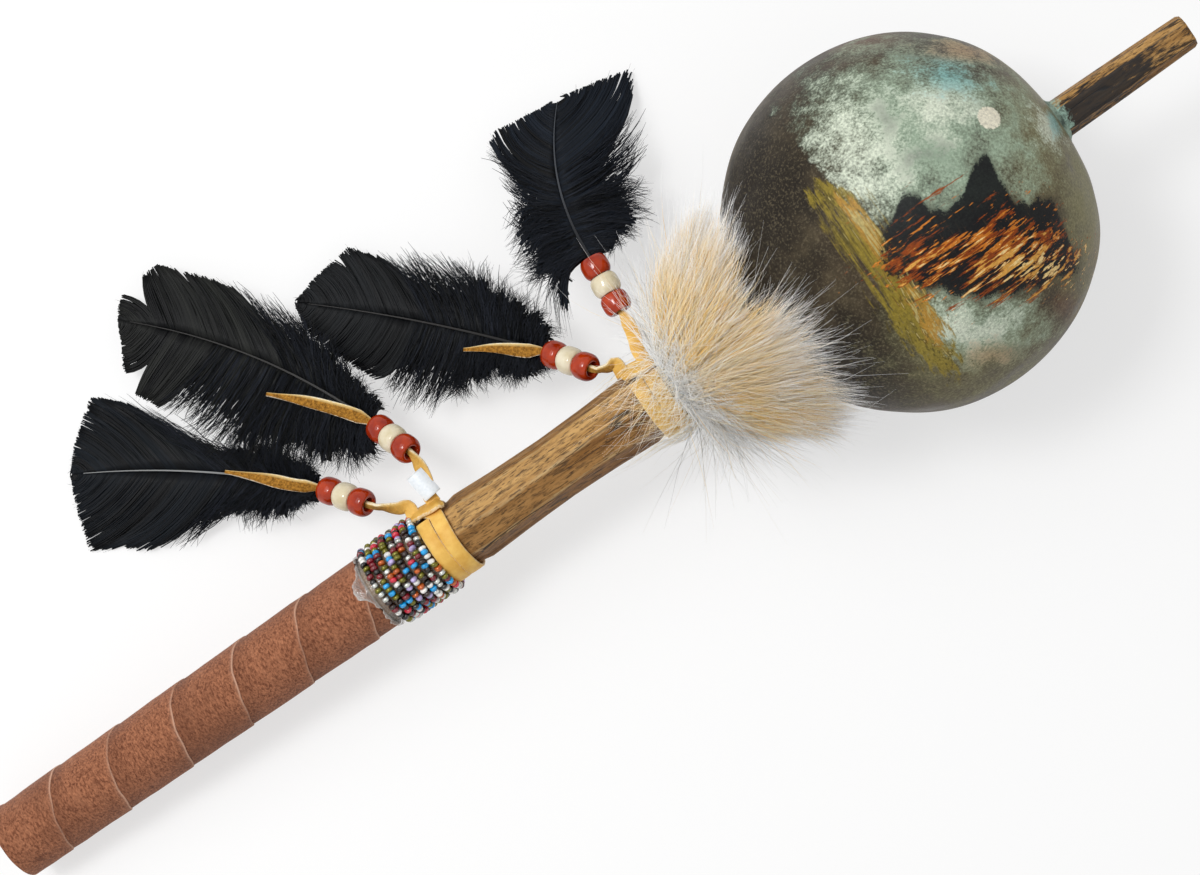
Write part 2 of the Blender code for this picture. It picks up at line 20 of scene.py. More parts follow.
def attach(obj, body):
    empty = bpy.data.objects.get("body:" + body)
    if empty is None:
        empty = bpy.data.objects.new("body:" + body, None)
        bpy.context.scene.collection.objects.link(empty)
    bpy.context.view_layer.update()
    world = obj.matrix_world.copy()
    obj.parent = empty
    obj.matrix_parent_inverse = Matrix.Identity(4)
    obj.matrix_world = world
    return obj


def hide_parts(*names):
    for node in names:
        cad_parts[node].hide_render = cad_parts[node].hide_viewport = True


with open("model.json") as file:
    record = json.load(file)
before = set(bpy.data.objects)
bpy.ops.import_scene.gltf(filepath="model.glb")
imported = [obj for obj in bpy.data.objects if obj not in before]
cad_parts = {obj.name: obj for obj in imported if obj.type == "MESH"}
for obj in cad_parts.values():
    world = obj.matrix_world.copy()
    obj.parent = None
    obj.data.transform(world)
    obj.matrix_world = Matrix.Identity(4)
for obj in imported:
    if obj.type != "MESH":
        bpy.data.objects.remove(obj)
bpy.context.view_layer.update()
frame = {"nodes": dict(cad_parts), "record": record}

LOG = logging.getLogger("gourd_rattle")
MM = 0.001
TURN = 2.0 * math.pi
SEAM = 0.002 * MM
SHARP_ANGLE = math.radians(50.0)
FIXED_BODY = "rattle"
Array = np.ndarray
Socket = bpy.types.NodeSocket
BMesh = bmesh.types.BMesh
Nodes = bpy.types.NodeTree
Piece = bpy.types.Object
Mesh = bpy.types.Mesh
Grid = tuple[int, int]
Range = tuple[float, float]
Point = tuple[float, float, float]
Colour = tuple[float, float, float, float]
Tone = str | Colour | Socket
Oval = tuple[float, float, float, float]
Outline = tuple[Range, ...]
Skin = tuple[Array, dict[str, Array]]
Shape = Callable[[Array, Array], Skin]
UNIT: Range = (0.0, 1.0)
ANY_PHASE: Range = (0.0, 6.3)
WHITE: Colour = (1.0, 1.0, 1.0, 1.0)


@dataclass(frozen=True)
class StickAxis:
    """The stick's own line, which carries every fixed piece."""

    butt: Array
    along: Array
    down: Array

    @classmethod
    def read(cls, mounts: list[dict]) -> "StickAxis":
        """Read the line from the mount at the butt.

        Args:
            mounts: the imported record's mounts.

        Returns:
            The stick's line.
        """
        butt = next(mount for mount in mounts if mount["name"] == "butt_end")
        along = -np.array(butt["axis"])
        return cls(np.array(butt["pos_m"]) / MM, along, np.array((along[2], 0.0, -along[0])))

    def outward(self, angle: Array) -> Array:
        """Unit directions away from the line at angles in radians."""
        angle = np.asarray(angle, float)[..., None]
        return np.cos(angle) * self.down + np.sin(angle) * np.array((0.0, 1.0, 0.0))

    def place(self, station: Array, radius: Array, angle: Array) -> Array:
        """Points in millimetres at stations, radii and angles in radians."""
        station, radius = np.asarray(station, float)[..., None], np.asarray(radius, float)[..., None]
        return self.butt + station * self.along + radius * self.outward(angle)

    @property
    def tilt(self) -> float:
        """Angle between the stick and the table, in radians."""
        return math.asin(self.along[2])


AXIS = StickAxis.read(frame["record"]["mounts"])


def srgb(code: str) -> Colour:
    """Linear values of an sRGB hex colour such as "#a9824a"."""
    channels = [int(code[at:at + 2], 16) / 255.0 for at in (1, 3, 5)]
    return (*[c / 12.92 if c <= 0.04045 else ((c + 0.055) / 1.055) ** 2.4 for c in channels], 1.0)


def per_mm(size: float) -> float:
    """Texture scale that makes a pattern repeat about every so many millimetres."""
    return 1.0 / (size * MM)


def fill_inputs(tree: Nodes, node: bpy.types.Node, inputs: dict) -> None:
    """Set a node's inputs, or link those whose value is an output socket.

    Args:
        tree: the node's tree.
        node: the node.
        inputs: values or output sockets, by the input's name or number.
    """
    for key, value in inputs.items():
        if isinstance(value, Socket):
            tree.links.new(value, node.inputs[key])
        else:
            node.inputs[key].default_value = value


def add_node(tree: Nodes, kind: str, inputs: dict | None = None, **settings) -> bpy.types.Node:
    """Add one node with its settings, and fill or link its inputs.

    Args:
        tree: the material's nodes.
        kind: the node's type, without ShaderNode.
        inputs: values or output sockets, by the input's name or number.
        **settings: the node's own settings.

    Returns:
        The node.
    """
    node = tree.nodes.new("ShaderNode" + kind)
    for name, value in settings.items():
        setattr(node, name, value)
    fill_inputs(tree, node, inputs or {})
    return node


def seen_directly(tree: Nodes) -> Socket:
    """Tell rays that come from the camera, a gloss or a glass from those that only light things.

    Args:
        tree: the nodes of the floor or the sky.

    Returns:
        A socket that is 1 for such a ray.
    """
    path = add_node(tree, "LightPath").outputs
    seen = path["Is Camera Ray"]
    for ray in ("Is Glossy Ray", "Is Transmission Ray"):
        seen = add_node(tree, "Math", {0: seen, 1: path[ray]}, operation="MAXIMUM").outputs[0]
    return seen


def unit(vectors: Array) -> Array:
    """Vectors of length one along the last axis."""
    return vectors / np.maximum(np.linalg.norm(vectors, axis=-1, keepdims=True), 1e-12)


def direction(yaw: Array, pitch: Array) -> Array:
    """Unit directions at a yaw over the table and a pitch up from it, both in degrees."""
    yaw, pitch = np.radians(yaw), np.radians(pitch)
    return np.stack([np.cos(pitch) * np.cos(yaw), np.cos(pitch) * np.sin(yaw), np.sin(pitch)], axis=-1)


def smooth(low: float, high: float, values: Array) -> Array:
    """Smooth step from 0 at low to 1 at high."""
    share = np.clip((values - low) / (high - low), 0.0, 1.0)
    return share * share * (3.0 - 2.0 * share)


def ripple(points: Array, size: float, seed: int) -> Array:
    """Smooth uneven waves over points, about -1 to 1.

    Args:
        points: places in millimetres.
        size: wave length in millimetres.
        seed: picks the waves.

    Returns:
        One value for each point.
    """
    rng = np.random.default_rng(seed)
    total = np.zeros(points.shape[:-1])
    for _ in range(6):
        wave = unit(rng.normal(size=3)) * TURN / (size * rng.uniform(0.7, 1.5))
        total += np.sin(points @ wave + rng.uniform(0.0, TURN))
    return total / 3.0


def waves(rng: np.random.Generator, count: int, share: Array, beats: Range) -> Array:
    """Waves of so many strands at places from root to tip, each with a beat of its own and growing from the root."""
    beat, phase = rng.uniform(*beats, count)[:, None], rng.uniform(*ANY_PHASE, count)[:, None]
    return (np.sin(share * beat + phase) - np.sin(phase)) * share


def travelled(points: Array) -> Array:
    """Distances along a line of points, from 0 at its first."""
    return np.concatenate([[0.0], np.cumsum(np.linalg.norm(np.diff(points, axis=0), axis=1))])


def along_outline(outline: Sequence, share: Array) -> Array:
    """Values of each column of an outline at shares of the way along it, with its points evenly apart."""
    columns, at = np.array(outline).T, share * (len(outline) - 1)
    return np.array([np.interp(at, np.arange(len(outline)), column) for column in columns])


def smooth_route(points: Sequence, spacing: float) -> Array:
    """Points at an even spacing on a smooth curve through a given route.

    Args:
        points: the route's points in millimetres.
        spacing: the distance wanted between points.

    Returns:
        The curve's points in millimetres.
    """
    knots = [np.array(point, float) for point in points]
    knots = [2 * knots[0] - knots[1], *knots, 2 * knots[-1] - knots[-2]]
    share = np.linspace(0.0, 1.0, 24, endpoint=False)[:, None]
    spans = [0.5 * (2 * b + (c - a) * share + (2 * a - 5 * b + 4 * c - d) * share ** 2
                    + (3 * b - a - 3 * c + d) * share ** 3)
             for a, b, c, d in zip(knots, knots[1:], knots[2:], knots[3:])]
    dense = np.concatenate([*spans, knots[-2][None]])
    run = travelled(dense)
    goal = np.linspace(0.0, run[-1], max(3, round(run[-1] / spacing) + 1))
    return np.stack([np.interp(goal, run, dense[:, k]) for k in range(3)], axis=1)


def to_mesh(bm: BMesh, name: str) -> Mesh:
    """Turn a shape into a mesh.

    Args:
        bm: the shape, which is freed.
        name: the mesh's name.

    Returns:
        The mesh.
    """
    mesh = bpy.data.meshes.new(name)
    bm.to_mesh(mesh)
    bm.free()
    return mesh


def close_body(bm: BMesh, name: str) -> Mesh:
    """Merge seams and poles, close open ends and turn the faces outwards.

    Args:
        bm: the shape, which is freed.
        name: the mesh's name.

    Returns:
        The finished mesh.
    """
    bmesh.ops.remove_doubles(bm, verts=bm.verts, dist=SEAM)
    rim = [edge for edge in bm.edges if edge.is_boundary]
    if rim:
        bmesh.ops.holes_fill(bm, edges=rim, sides=0)
    bmesh.ops.recalc_face_normals(bm, faces=bm.faces)
    mesh = to_mesh(bm, name)
    mesh.shade_smooth()
    mesh.set_sharp_from_angle(angle=SHARP_ANGLE)
    return mesh


def bent_grid(across: int, along: int, shape: Shape) -> BMesh:
    """Bend a plain grid into a shape.

    Args:
        across: faces along the grid's u.
        along: faces along its v.
        shape: gives points in millimetres and named marks for arrays of u and v from 0 to 1.

    Returns:
        The bent grid, its seams still open.
    """
    bm = bmesh.new()
    bmesh.ops.create_grid(bm, x_segments=across, y_segments=along, size=0.5)
    flat = np.array([vert.co for vert in bm.verts])
    points, marks = shape(flat[:, 0] + 0.5, flat[:, 1] + 0.5)
    for vert, point in zip(bm.verts, points * MM):
        vert.co = point
    for label, values in marks.items():
        layer = bm.verts.layers.float.new(label)
        for vert, value in zip(bm.verts, values):
            vert[layer] = value
    return bm


def bent_body(name: str, across: int, along: int, shape: Shape) -> Mesh:
    """A closed mesh bent from a plain grid."""
    return close_body(bent_grid(across, along, shape), name)


STRAP_SECTION = np.array((
    (1.0, -0.45), (1.0, 0.45), (0.88, 0.94), (0.45, 1.0), (0.0, 1.03), (-0.45, 1.0), (-0.88, 0.94),
    (-1.0, 0.45), (-1.0, -0.45), (-0.88, -0.94), (-0.45, -1.0), (0.0, -1.0), (0.45, -1.0), (0.88, -0.94)))


def strap(name: str, route: Array, wide: Array, half_width: Array, half_depth: Array,
          **marks: Array) -> Mesh:
    """Sweep the flat section of a leather or paper strap along a route.

    Args:
        name: the mesh's name.
        route: centre points in millimetres.
        wide: the direction of its width at each point.
        half_width: half its width at each point.
        half_depth: half its thickness at each point.
        **marks: values along the route, kept as attributes beside the one named cut, 1 on the edges.

    Returns:
        The closed mesh.
    """
    tangent = unit(np.gradient(route, axis=0))
    wide = unit(wide - tangent * np.sum(wide * tangent, axis=1, keepdims=True))
    deep = np.cross(tangent, wide)
    last = len(route) - 1

    def shape(u: Array, v: Array) -> Skin:
        """Shape the strap.

        Args:
            u: share of the way round its section.
            v: share of the way along its route.

        Returns:
            Points and marks.
        """
        at = np.rint(v * last).astype(int)
        section = STRAP_SECTION[np.rint(u * len(STRAP_SECTION)).astype(int) % len(STRAP_SECTION)]
        points = (route[at] + wide[at] * (section[:, :1] * half_width[at, None])
                  + deep[at] * (section[:, 1:] * half_depth[at, None]))
        kept = {label: np.asarray(values)[at] for label, values in marks.items()}
        kept["cut"] = (np.abs(section[:, 0]) > 0.95).astype(float)
        kept["across"] = section[:, 0]
        return points, kept

    return bent_body(name, len(STRAP_SECTION), last, shape)


class Strands:
    """Fine tapered strands of three sides, gathered by the thousand into one mesh."""

    SECTION = np.array(((-1.0, -0.33), (1.0, -0.33), (0.0, 0.67)))
    ROUNDNESS = 0.5

    def __init__(self) -> None:
        """Start with no strands."""
        self.points: list[Array] = []
        self.corners: list[Array] = []
        self.sizes: list[Array] = []
        self.marks: dict[str, list[Array]] = {}
        self.normals: list[Array] = []
        self.count = 0

    def add(self, paths: Array, half_width: Array, half_depth: Array, up: Array, facing: Array | None = None,
            **marks: Array) -> None:
        """Add strands that have the same number of points.

        Args:
            paths: centre points in millimetres, by strand and step.
            half_width: half the width at each point.
            half_depth: half the thickness at each point.
            up: the way that the flat side faces.
            facing: the way that the coat faces at each point, which its strands then catch the light by.
            **marks: values at each point, kept as attributes.
        """
        number, steps = paths.shape[:2]
        tangent = unit(np.gradient(paths, axis=1))
        side = unit(np.cross(tangent, np.broadcast_to(up, paths.shape)))
        lift = np.cross(side, tangent)
        ring = (paths[:, :, None, :]
                + side[:, :, None, :] * (self.SECTION[:, 0, None] * half_width[:, :, None, None])
                + lift[:, :, None, :] * (self.SECTION[:, 1, None] * half_depth[:, :, None, None]))
        if facing is not None:
            own = unit(ring - paths[:, :, None, :])
            self.normals.append(unit(self.ROUNDNESS * own + facing[:, :, None, :]).reshape(-1, 3))
        sides = len(self.SECTION)
        index = np.arange(self.count, self.count + number * steps * sides).reshape(number, steps, sides)
        turned = np.roll(index, -1, axis=2)
        walls = np.stack([index[:, :-1], index[:, 1:], turned[:, 1:], turned[:, :-1]], axis=-1)
        self.points.append(ring.reshape(-1, 3))
        self.corners += [walls.ravel(), index[:, 0].ravel(), index[:, -1, ::-1].ravel()]
        self.sizes += [np.full(walls.size // 4, 4), np.full(2 * number, sides)]
        for label, values in marks.items():
            spread = np.broadcast_to(values[:, :, None], (number, steps, sides))
            self.marks.setdefault(label, []).append(spread.ravel())
        self.count += ring.size // 3

    def mesh(self, name: str) -> Mesh:
        """Make the mesh of all strands.

        Args:
            name: the mesh's name.

        Returns:
            The finished mesh.
        """
        points, corners = np.concatenate(self.points) * MM, np.concatenate(self.corners)
        sizes = np.concatenate(self.sizes)
        mesh = bpy.data.meshes.new(name)
        mesh.vertices.add(len(points))
        mesh.vertices.foreach_set("co", points.ravel())
        mesh.loops.add(len(corners))
        mesh.loops.foreach_set("vertex_index", corners)
        mesh.polygons.add(len(sizes))
        mesh.polygons.foreach_set("loop_start", np.concatenate([[0], np.cumsum(sizes)[:-1]]))
        for label, values in self.marks.items():
            layer = mesh.attributes.new(label, "FLOAT", "POINT")
            layer.data.foreach_set("value", np.concatenate(values))
        mesh.update(calc_edges=True)
        mesh.shade_smooth()
        if self.normals:
            mesh.normals_split_custom_set_from_vertices(np.concatenate(self.normals))
        return mesh


class Look:
    """The nodes of one material, with short calls for what the finishes share."""

    def __init__(self, material: bpy.types.Material) -> None:
        """Start a material with a plain shader.

        Args:
            material: a new material.
        """
        material.use_nodes = True
        self.tree = material.node_tree
        self.tree.nodes.clear()
        self.shader = add_node(self.tree, "BsdfPrincipled")
        self.output = add_node(self.tree, "OutputMaterial", {"Surface": self.shader.outputs[0]})

    def add(self, kind: str, inputs: dict | None = None, output: int | str = 0, **settings) -> Socket:
        """Add a node and take one of its outputs, by name or number."""
        return add_node(self.tree, kind, inputs, **settings).outputs[output]

    @cached_property
    def coords(self) -> Socket:
        """Places on the piece, in its own frame."""
        return self.add("TexCoord", output="Object")

    def mark(self, name: str) -> Socket:
        """Values that the mesh carries under a name."""
        return self.add("Attribute", output="Fac", attribute_name=name)

    def comb(self, space: Socket, scale: Point = (1.0, 1.0, 1.0), turn: Point = (0.0, 0.0, 0.0)) -> Socket:
        """Turn a pattern's space and draw it out: a scale below 1 makes the pattern longer that way."""
        return self.add("Mapping", {"Vector": space, "Rotation": turn, "Scale": scale})

    def noise(self, size: float, detail: float = 2.0, rough: float = 0.5, twist: float = 0.0,
              space: Socket | None = None) -> Socket:
        """Uneven pattern with patches of a size in millimetres, in the piece's own space or a combed one."""
        return self.add("TexNoise", {"Vector": self.coords if space is None else space, "Scale": per_mm(size),
                                     "Detail": detail, "Roughness": rough, "Distortion": twist})

    def ramp(self, value: Socket, seen: Range = UNIT, given: Range = UNIT, **settings) -> Socket:
        """Map the range of values that is seen onto the one that is given."""
        return self.add("MapRange", {"Value": value, "From Min": seen[0], "From Max": seen[1],
                                     "To Min": given[0], "To Max": given[1]}, **settings)

    def blend(self, share: Socket | float, below: Tone, above: Tone, **settings) -> Socket:
        """Blend two colours, given as hex codes, linear values or sockets, by the share of the second."""
        first, second = (srgb(tone) if isinstance(tone, str) else tone for tone in (below, above))
        return self.add("Mix", {0: share, 6: first, 7: second}, 2, data_type="RGBA", **settings)

    def over(self, colour: Socket, *coats: tuple[Socket, str]) -> Socket:
        """Lay coats over a colour.

        Args:
            colour: the colour underneath.
            *coats: each coat's share and hex code, from the lowest up.

        Returns:
            The colour on top.
        """
        for share, code in coats:
            colour = self.blend(share, colour, code)
        return colour

    def math(self, operation: str, first: Socket, second: Socket | float) -> Socket:
        """Combine two values."""
        return self.add("Math", {0: first, 1: second}, operation=operation)

    def set(self, inputs: dict) -> None:
        """Set or link the shader's inputs, by name."""
        fill_inputs(self.tree, self.shader, inputs)

    def bump(self, height: Socket, strength: float, depth: float) -> None:
        """Give the shader a fine relief, its depth in millimetres."""
        self.set({"Normal": self.add("Bump", {"Height": height, "Strength": strength, "Distance": depth * MM})})


class Finish:
    """A procedural material, made once and shared by the pieces that wear it."""

    label: str

    def material(self) -> bpy.types.Material:
        """Find the material, or make it.

        Returns:
            The material.
        """
        made = bpy.data.materials.get(self.label)
        if made is None:
            made = bpy.data.materials.new(self.label)
            self.wire(Look(made))
        return made

    def wire(self, look: Look) -> None:
        """Connect the finish to its material's shader."""
        raise NotImplementedError


@dataclass(frozen=True)
class CarvedWood(Finish):
    """Knife-carved pine, oiled: fine honey grain, short dark flecks, hair cracks and pale worn corners."""

    label: str = "carved_pine"
    light: str = "#c49a5e"
    mid: str = "#9b7038"
    dark: str = "#4a3019"
    painted_shade: str = "#9c7b56"
    worn: str = "#e0c08a"
    fleck: str = "#35210f"
    crack: str = "#1c120a"
    black: str = "#101215"
    mint: str = "#b4d6c5"

    def wire(self, look: Look) -> None:
        """Connect grain, flecks, cracks, worn corners, the painted shade on the facets and the painted end.

        Args:
            look: the material's nodes.
        """
        turned = look.comb(look.coords, turn=(0.0, AXIS.tilt, 0.0))
        grain, fibre = look.comb(turned, (0.07, 1.0, 1.0)), look.comb(turned, (0.2, 1.0, 1.0))
        broad = look.noise(4.0, 5.0, 0.6, 0.6, grain)
        fine = look.noise(0.9, 4.0, 0.65, space=fibre)
        colour = look.blend(look.ramp(broad, (0.36, 0.64)), self.light, self.mid)
        colour = look.over(colour, (look.ramp(fine, (0.47, 0.66), (0.0, 0.7)), self.dark))
        # Painted shade: each facet is darkened by its own amount, most underneath and on the side away from the
        # dangles.
        painted_shade = look.blend(look.mark("facet_shade"), WHITE, self.painted_shade)
        colour = look.blend(1.0, colour, painted_shade, blend_type="MULTIPLY")
        wear = look.math("MULTIPLY", look.mark("ridge"), fine)
        off_line = look.math("SUBTRACT", look.noise(9.0, 3.0, space=grain), 0.5)
        line = look.add("Math", {0: off_line}, operation="ABSOLUTE")
        open_places = look.ramp(look.noise(17.0, 1.0, space=turned), (0.44, 0.52))
        crack = look.math("MULTIPLY", look.ramp(line, (0.004, 0.011), (0.9, 0.0)), open_places)
        paint = look.math("ADD", look.mark("painted"), look.ramp(fine, (0.3, 0.7), (-0.4, 0.4)))
        dab = look.math("ADD", look.mark("smear"), look.noise(1.5, 4.0, 0.7, 1.2, turned))
        colour = look.over(
            colour, (look.ramp(wear, (0.3, 0.6), (0.0, 0.6)), self.worn),
            (look.ramp(look.noise(0.55, space=fibre), (0.56, 0.66), (0.0, 0.75)), self.fleck), (crack, self.crack),
            (look.ramp(paint, (0.3, 0.75), (0.0, 0.95), interpolation_type="SMOOTHSTEP"), self.black),
            (look.ramp(dab, (1.25, 1.55), (0.0, 0.9)), self.mint))
        look.set({"Base Color": colour, "Roughness": look.ramp(broad, (0.3, 0.7), (0.45, 0.65)),
                  "Specular IOR Level": 0.25})
        look.bump(look.math("SUBTRACT", fine, crack), 0.5, 0.35)


@dataclass(frozen=True)
class PaintedGourd(Finish):
    """Dried gourd sponged and brushed with oil paint under satin varnish: stippled edges and a soft gleam."""

    label: str = "painted_gourd"

    def wire(self, look: Look) -> None:
        """Lay the paint in coats, each with an edge broken by the sponge or the brush.

        Args:
            look: the material's nodes.
        """
        sponge, grit = look.noise(9.0, 9.0, 0.66), look.noise(0.8, 3.0, 0.75)
        mist = look.add("Mix", {0: 0.3, 2: sponge, 3: grit})
        brush = look.comb(look.coords, (1.0, 0.05, 0.4))
        stroke, rake = look.noise(1.6, 5.0, 0.7, space=brush), look.noise(0.8, 2.0, 0.6, space=brush)
        lick = look.comb(look.coords, (0.12, 1.0, 0.6), (0.0, 0.0, math.radians(12.0)))
        flame, spark = look.noise(2.2, 5.0, 0.66, space=lick), look.noise(1.2, 3.0, 0.6, space=lick)
        colour = look.blend(look.ramp(look.noise(26.0, 7.0, 0.62), (0.36, 0.64)), "#372d22", "#544a38")
        # Each coat: its field, what breaks its edge and how far, where it fades in, its strength and its colour.
        coats = (
            ("dusk", mist, 0.8, (0.3, 0.85), 0.85, "#171310"),
            ("rust", mist, 1.2, (0.45, 1.0), 0.55, "#6b3a26"),
            ("stipple", grit, 2.4, (0.5, 1.2), 0.4, "#6f6550"),
            ("olive", mist, 0.8, (0.2, 1.0), 0.85, "#8f8a66"),
            ("mint", mist, 1.0, (0.2, 0.85), 0.92, "#9db09a"),
            ("pale", mist, 1.7, (0.35, 1.1), 0.82, "#dfe5d2"),
            ("smoke", mist, 3.4, (0.6, 1.5), 0.55, "#59615a"),
            ("teal", mist, 1.5, (0.4, 1.0), 0.6, "#6fb0b2"),
            ("peach", mist, 1.5, (0.4, 1.0), 0.6, "#b99873"),
            ("ochre", stroke, 1.2, (0.35, 0.7), 0.85, "#8f7d2e"),
            ("gold", stroke, 1.6, (0.45, 0.8), 0.75, "#b4853a"),
            ("ochre", rake, 2.6, (0.95, 1.3), 0.7, "#463f1d"),
            ("gold", rake, 2.6, (1.0, 1.3), 0.65, "#c9b878"),
            ("hills", grit, 0.3, (0.42, 0.56), 0.97, "#121316"),
            ("ridge", stroke, 1.4, (0.5, 0.8), 0.6, "#3d3226"),
            ("ember", flame, 2.2, (0.6, 0.85), 0.92, "#8f4318"),
            ("ember", spark, 2.4, (0.88, 1.08), 0.9, "#cb7a2c"),
            ("flare", flame, 2.4, (0.75, 0.95), 0.92, "#dfa650"),
            ("flare", spark, 2.6, (1.0, 1.2), 0.9, "#f3d694"),
            ("disc", grit, 0.25, (0.44, 0.56), 0.92, "#ece5d0"),
        )
        for field, edge, raggedness, fade, strength, code in coats:
            half = raggedness / 2.0
            broken = look.ramp(edge, (0.25, 0.75), (-half, half), clamp=False)
            place = look.math("ADD", look.mark(field), broken)
            mask = look.ramp(place, fade, (0.0, strength), interpolation_type="SMOOTHSTEP")
            colour = look.over(colour, (mask, code))
        speckle = look.ramp(grit, (0.3, 0.7), (0.7, 1.2))
        look.set({"Base Color": look.add("HueSaturation", {"Color": colour, "Value": speckle}),
                  "Roughness": look.ramp(sponge, (0.3, 0.7), (0.36, 0.55)), "Specular IOR Level": 0.12})
        look.bump(look.math("ADD", grit, sponge), 0.3, 0.25)


@dataclass(frozen=True)
class Filler(Finish):
    """Wood filler smoothed by finger and dabbed with paint: chalky, with a grainy, uneven tint."""

    label: str
    base: str
    stain: str

    def wire(self, look: Look) -> None:
        """Connect the stain and the grain.

        Args:
            look: the material's nodes.
        """
        stained, grain = look.ramp(look.noise(3.5, 6.0, 0.7), (0.4, 0.62)), look.noise(0.7, 3.0)
        look.set({"Base Color": look.blend(stained, self.base, self.stain),
                  "Roughness": look.ramp(grain, given=(0.5, 0.85))})
        look.bump(grain, 0.6, 0.3)


@dataclass(frozen=True)
class DrySeed(Finish):
    """Dry seed husk: tan with darker blotches and a faint polish."""

    label: str = "dry_seed_husk"

    def wire(self, look: Look) -> None:
        """Connect the blotches and the husk's wrinkles.

        Args:
            look: the material's nodes.
        """
        blotch = look.noise(2.0, 4.0)
        look.set({"Base Color": look.blend(look.ramp(blotch, (0.38, 0.64)), "#b08b57", "#6b4a28"),
                  "Roughness": look.ramp(blotch, given=(0.35, 0.6))})
        look.bump(blotch, 0.4, 0.2)


@dataclass(frozen=True)
class FurHair(Finish):
    """Coyote-like hair: grey at the root, golden tan on its length and white at the tip, soft and silky."""

    label: str = "wild_fur"

    def wire(self, look: Look) -> None:
        """Colour each hair by its length, its own tint and its patch of the coat.

        Args:
            look: the material's nodes.
        """
        along, tint = look.mark("along"), look.mark("tint")
        tan, grey = look.blend(tint, "#f0ba5c", "#ffedb8"), look.blend(tint, "#d2d7d9", "#ffffff")
        root, body = look.blend(tint, "#4a5157", "#eef1f2"), look.blend(look.mark("gold"), grey, tan)
        colour = look.blend(look.ramp(along, (0.06, 0.32)), root, body)
        look.set({"Base Color": look.over(colour, (look.ramp(along, (0.7, 0.95)), "#ffffff")),
                  "Roughness": look.ramp(tint, given=(0.5, 0.7)), "Specular IOR Level": 0.15})


@dataclass(frozen=True)
class Suede(Finish):
    """Brushed split suede, red-brown: a matted nap with pale scuffs, rubbed smudges and lighter cut edges."""

    label: str = "brown_suede"

    def wire(self, look: Look) -> None:
        """Connect nap, scuffs, smudges, cut edges and the painted shade beside each lap.

        Args:
            look: the material's nodes.
        """
        combed = look.comb(look.coords, (1.0, 0.45, 1.0), (0.0, 0.0, math.radians(25.0)))
        nap, scuff = look.noise(0.62, 3.0, 0.75, 0.4, combed), look.noise(4.5, 6.0, 0.65, space=combed)
        smudge = look.noise(26.0, 5.0, 0.6)
        colour = look.over(
            look.blend(look.ramp(nap, (0.36, 0.64)), "#673b29", "#b27656"),
            (look.ramp(scuff, (0.55, 0.75), (0.0, 0.4)), "#c08564"),
            (look.ramp(scuff, (0.38, 0.28), (0.0, 0.6)), "#51291b"),
            (look.ramp(smudge, (0.52, 0.7), (0.0, 0.4)), "#66402f"),
            # The last coat, tucked, is painted shade where each turn runs under the edge of the one lapped over it.
            (look.mark("seam"), "#d3a78e"), (look.mark("tucked"), "#43241a"))
        look.set({"Base Color": colour, "Roughness": look.ramp(scuff, given=(0.8, 1.0)), "Sheen Weight": 0.1,
                  "Sheen Roughness": 0.5, "Specular IOR Level": 0.12})
        look.bump(look.math("ADD", nap, scuff), 0.8, 0.4)


@dataclass(frozen=True)
class ClearGlue(Finish):
    """Dried clear craft glue: a glassy skin, almost colourless, whitened along its ragged edge."""

    label: str = "clear_glue_film"

    def wire(self, look: Look) -> None:
        """Connect the see-through skin, its whitened edge and its ripples.

        Args:
            look: the material's nodes.
        """
        lump, rim = look.noise(3.0), look.mark("rim")
        white = look.math("MULTIPLY", rim, look.ramp(lump, (0.35, 0.65)))
        look.set({"Base Color": look.blend(rim, "#a99f97", "#f2f0ec"), "Alpha": look.ramp(white, given=(0.22, 0.7)),
                  "Roughness": look.ramp(lump, given=(0.04, 0.16))})
        look.bump(lump, 0.5, 0.5)


@dataclass(frozen=True)
class GlassBead(Finish):
    """Drawn glass seed beads, some lined with silver: deep, wet-looking, each with its own glint."""

    label: str = "drawn_bead_glass"

    def wire(self, look: Look) -> None:
        """Colour each bead and give the lined ones their foil.

        Args:
            look: the material's nodes.
        """
        swirl = look.noise(0.9)
        tone = look.add("Attribute", output="Color", attribute_name="tone")
        depth = look.ramp(swirl, (0.3, 0.7), (0.6, 1.25))
        look.set({"Base Color": look.add("HueSaturation", {"Color": tone, "Value": depth}),
                  "Metallic": look.mark("foil"), "Roughness": look.ramp(swirl, given=(0.04, 0.14)),
                  "Specular IOR Level": 0.5, "Coat Weight": 0.25, "Coat Roughness": 0.03})


@dataclass(frozen=True)
class LaceLeather(Finish):
    """Deerskin lace cut from one hide: buttery yellow grain side, rough ochre flesh side, pale cut edges."""

    label: str = "deerskin_lace"

    def wire(self, look: Look) -> None:
        """Connect grain side, flesh side, cut edges and the painted shade where the lace is hidden.

        Args:
            look: the material's nodes.
        """
        pore, blotch, rough = look.noise(0.8, 3.0, 0.7), look.noise(5.0, 5.0, 0.6), look.mark("rough")
        nap = look.ramp(pore, (0.34, 0.66))
        grain = look.blend(look.ramp(blotch, (0.35, 0.68)), "#f0c468", "#dba445")
        hem = look.math("MULTIPLY", look.ramp(look.mark("across"), (0.5, 0.95)), rough)
        frayed = look.math("MULTIPLY", look.mark("cut"), nap)
        bright = look.ramp(rough, given=(0.4, 0.9))
        colour = look.over(
            look.blend(rough, grain, look.blend(nap, "#684310", "#bd8633")), (hem, "#e8cb8a"),
            # The shade mark is painted shade, on the lace inside the beads and at the knot's ends.
            (look.ramp(frayed, (0.05, 0.5), (0.0, bright)), "#f4ecd6"), (look.mark("shade"), "#6d4a1c"))
        look.set({"Base Color": colour, "Roughness": look.ramp(rough, given=(0.5, 0.9)), "Specular IOR Level": 0.25})
        look.bump(look.math("ADD", pore, blotch), 0.45, 0.2)


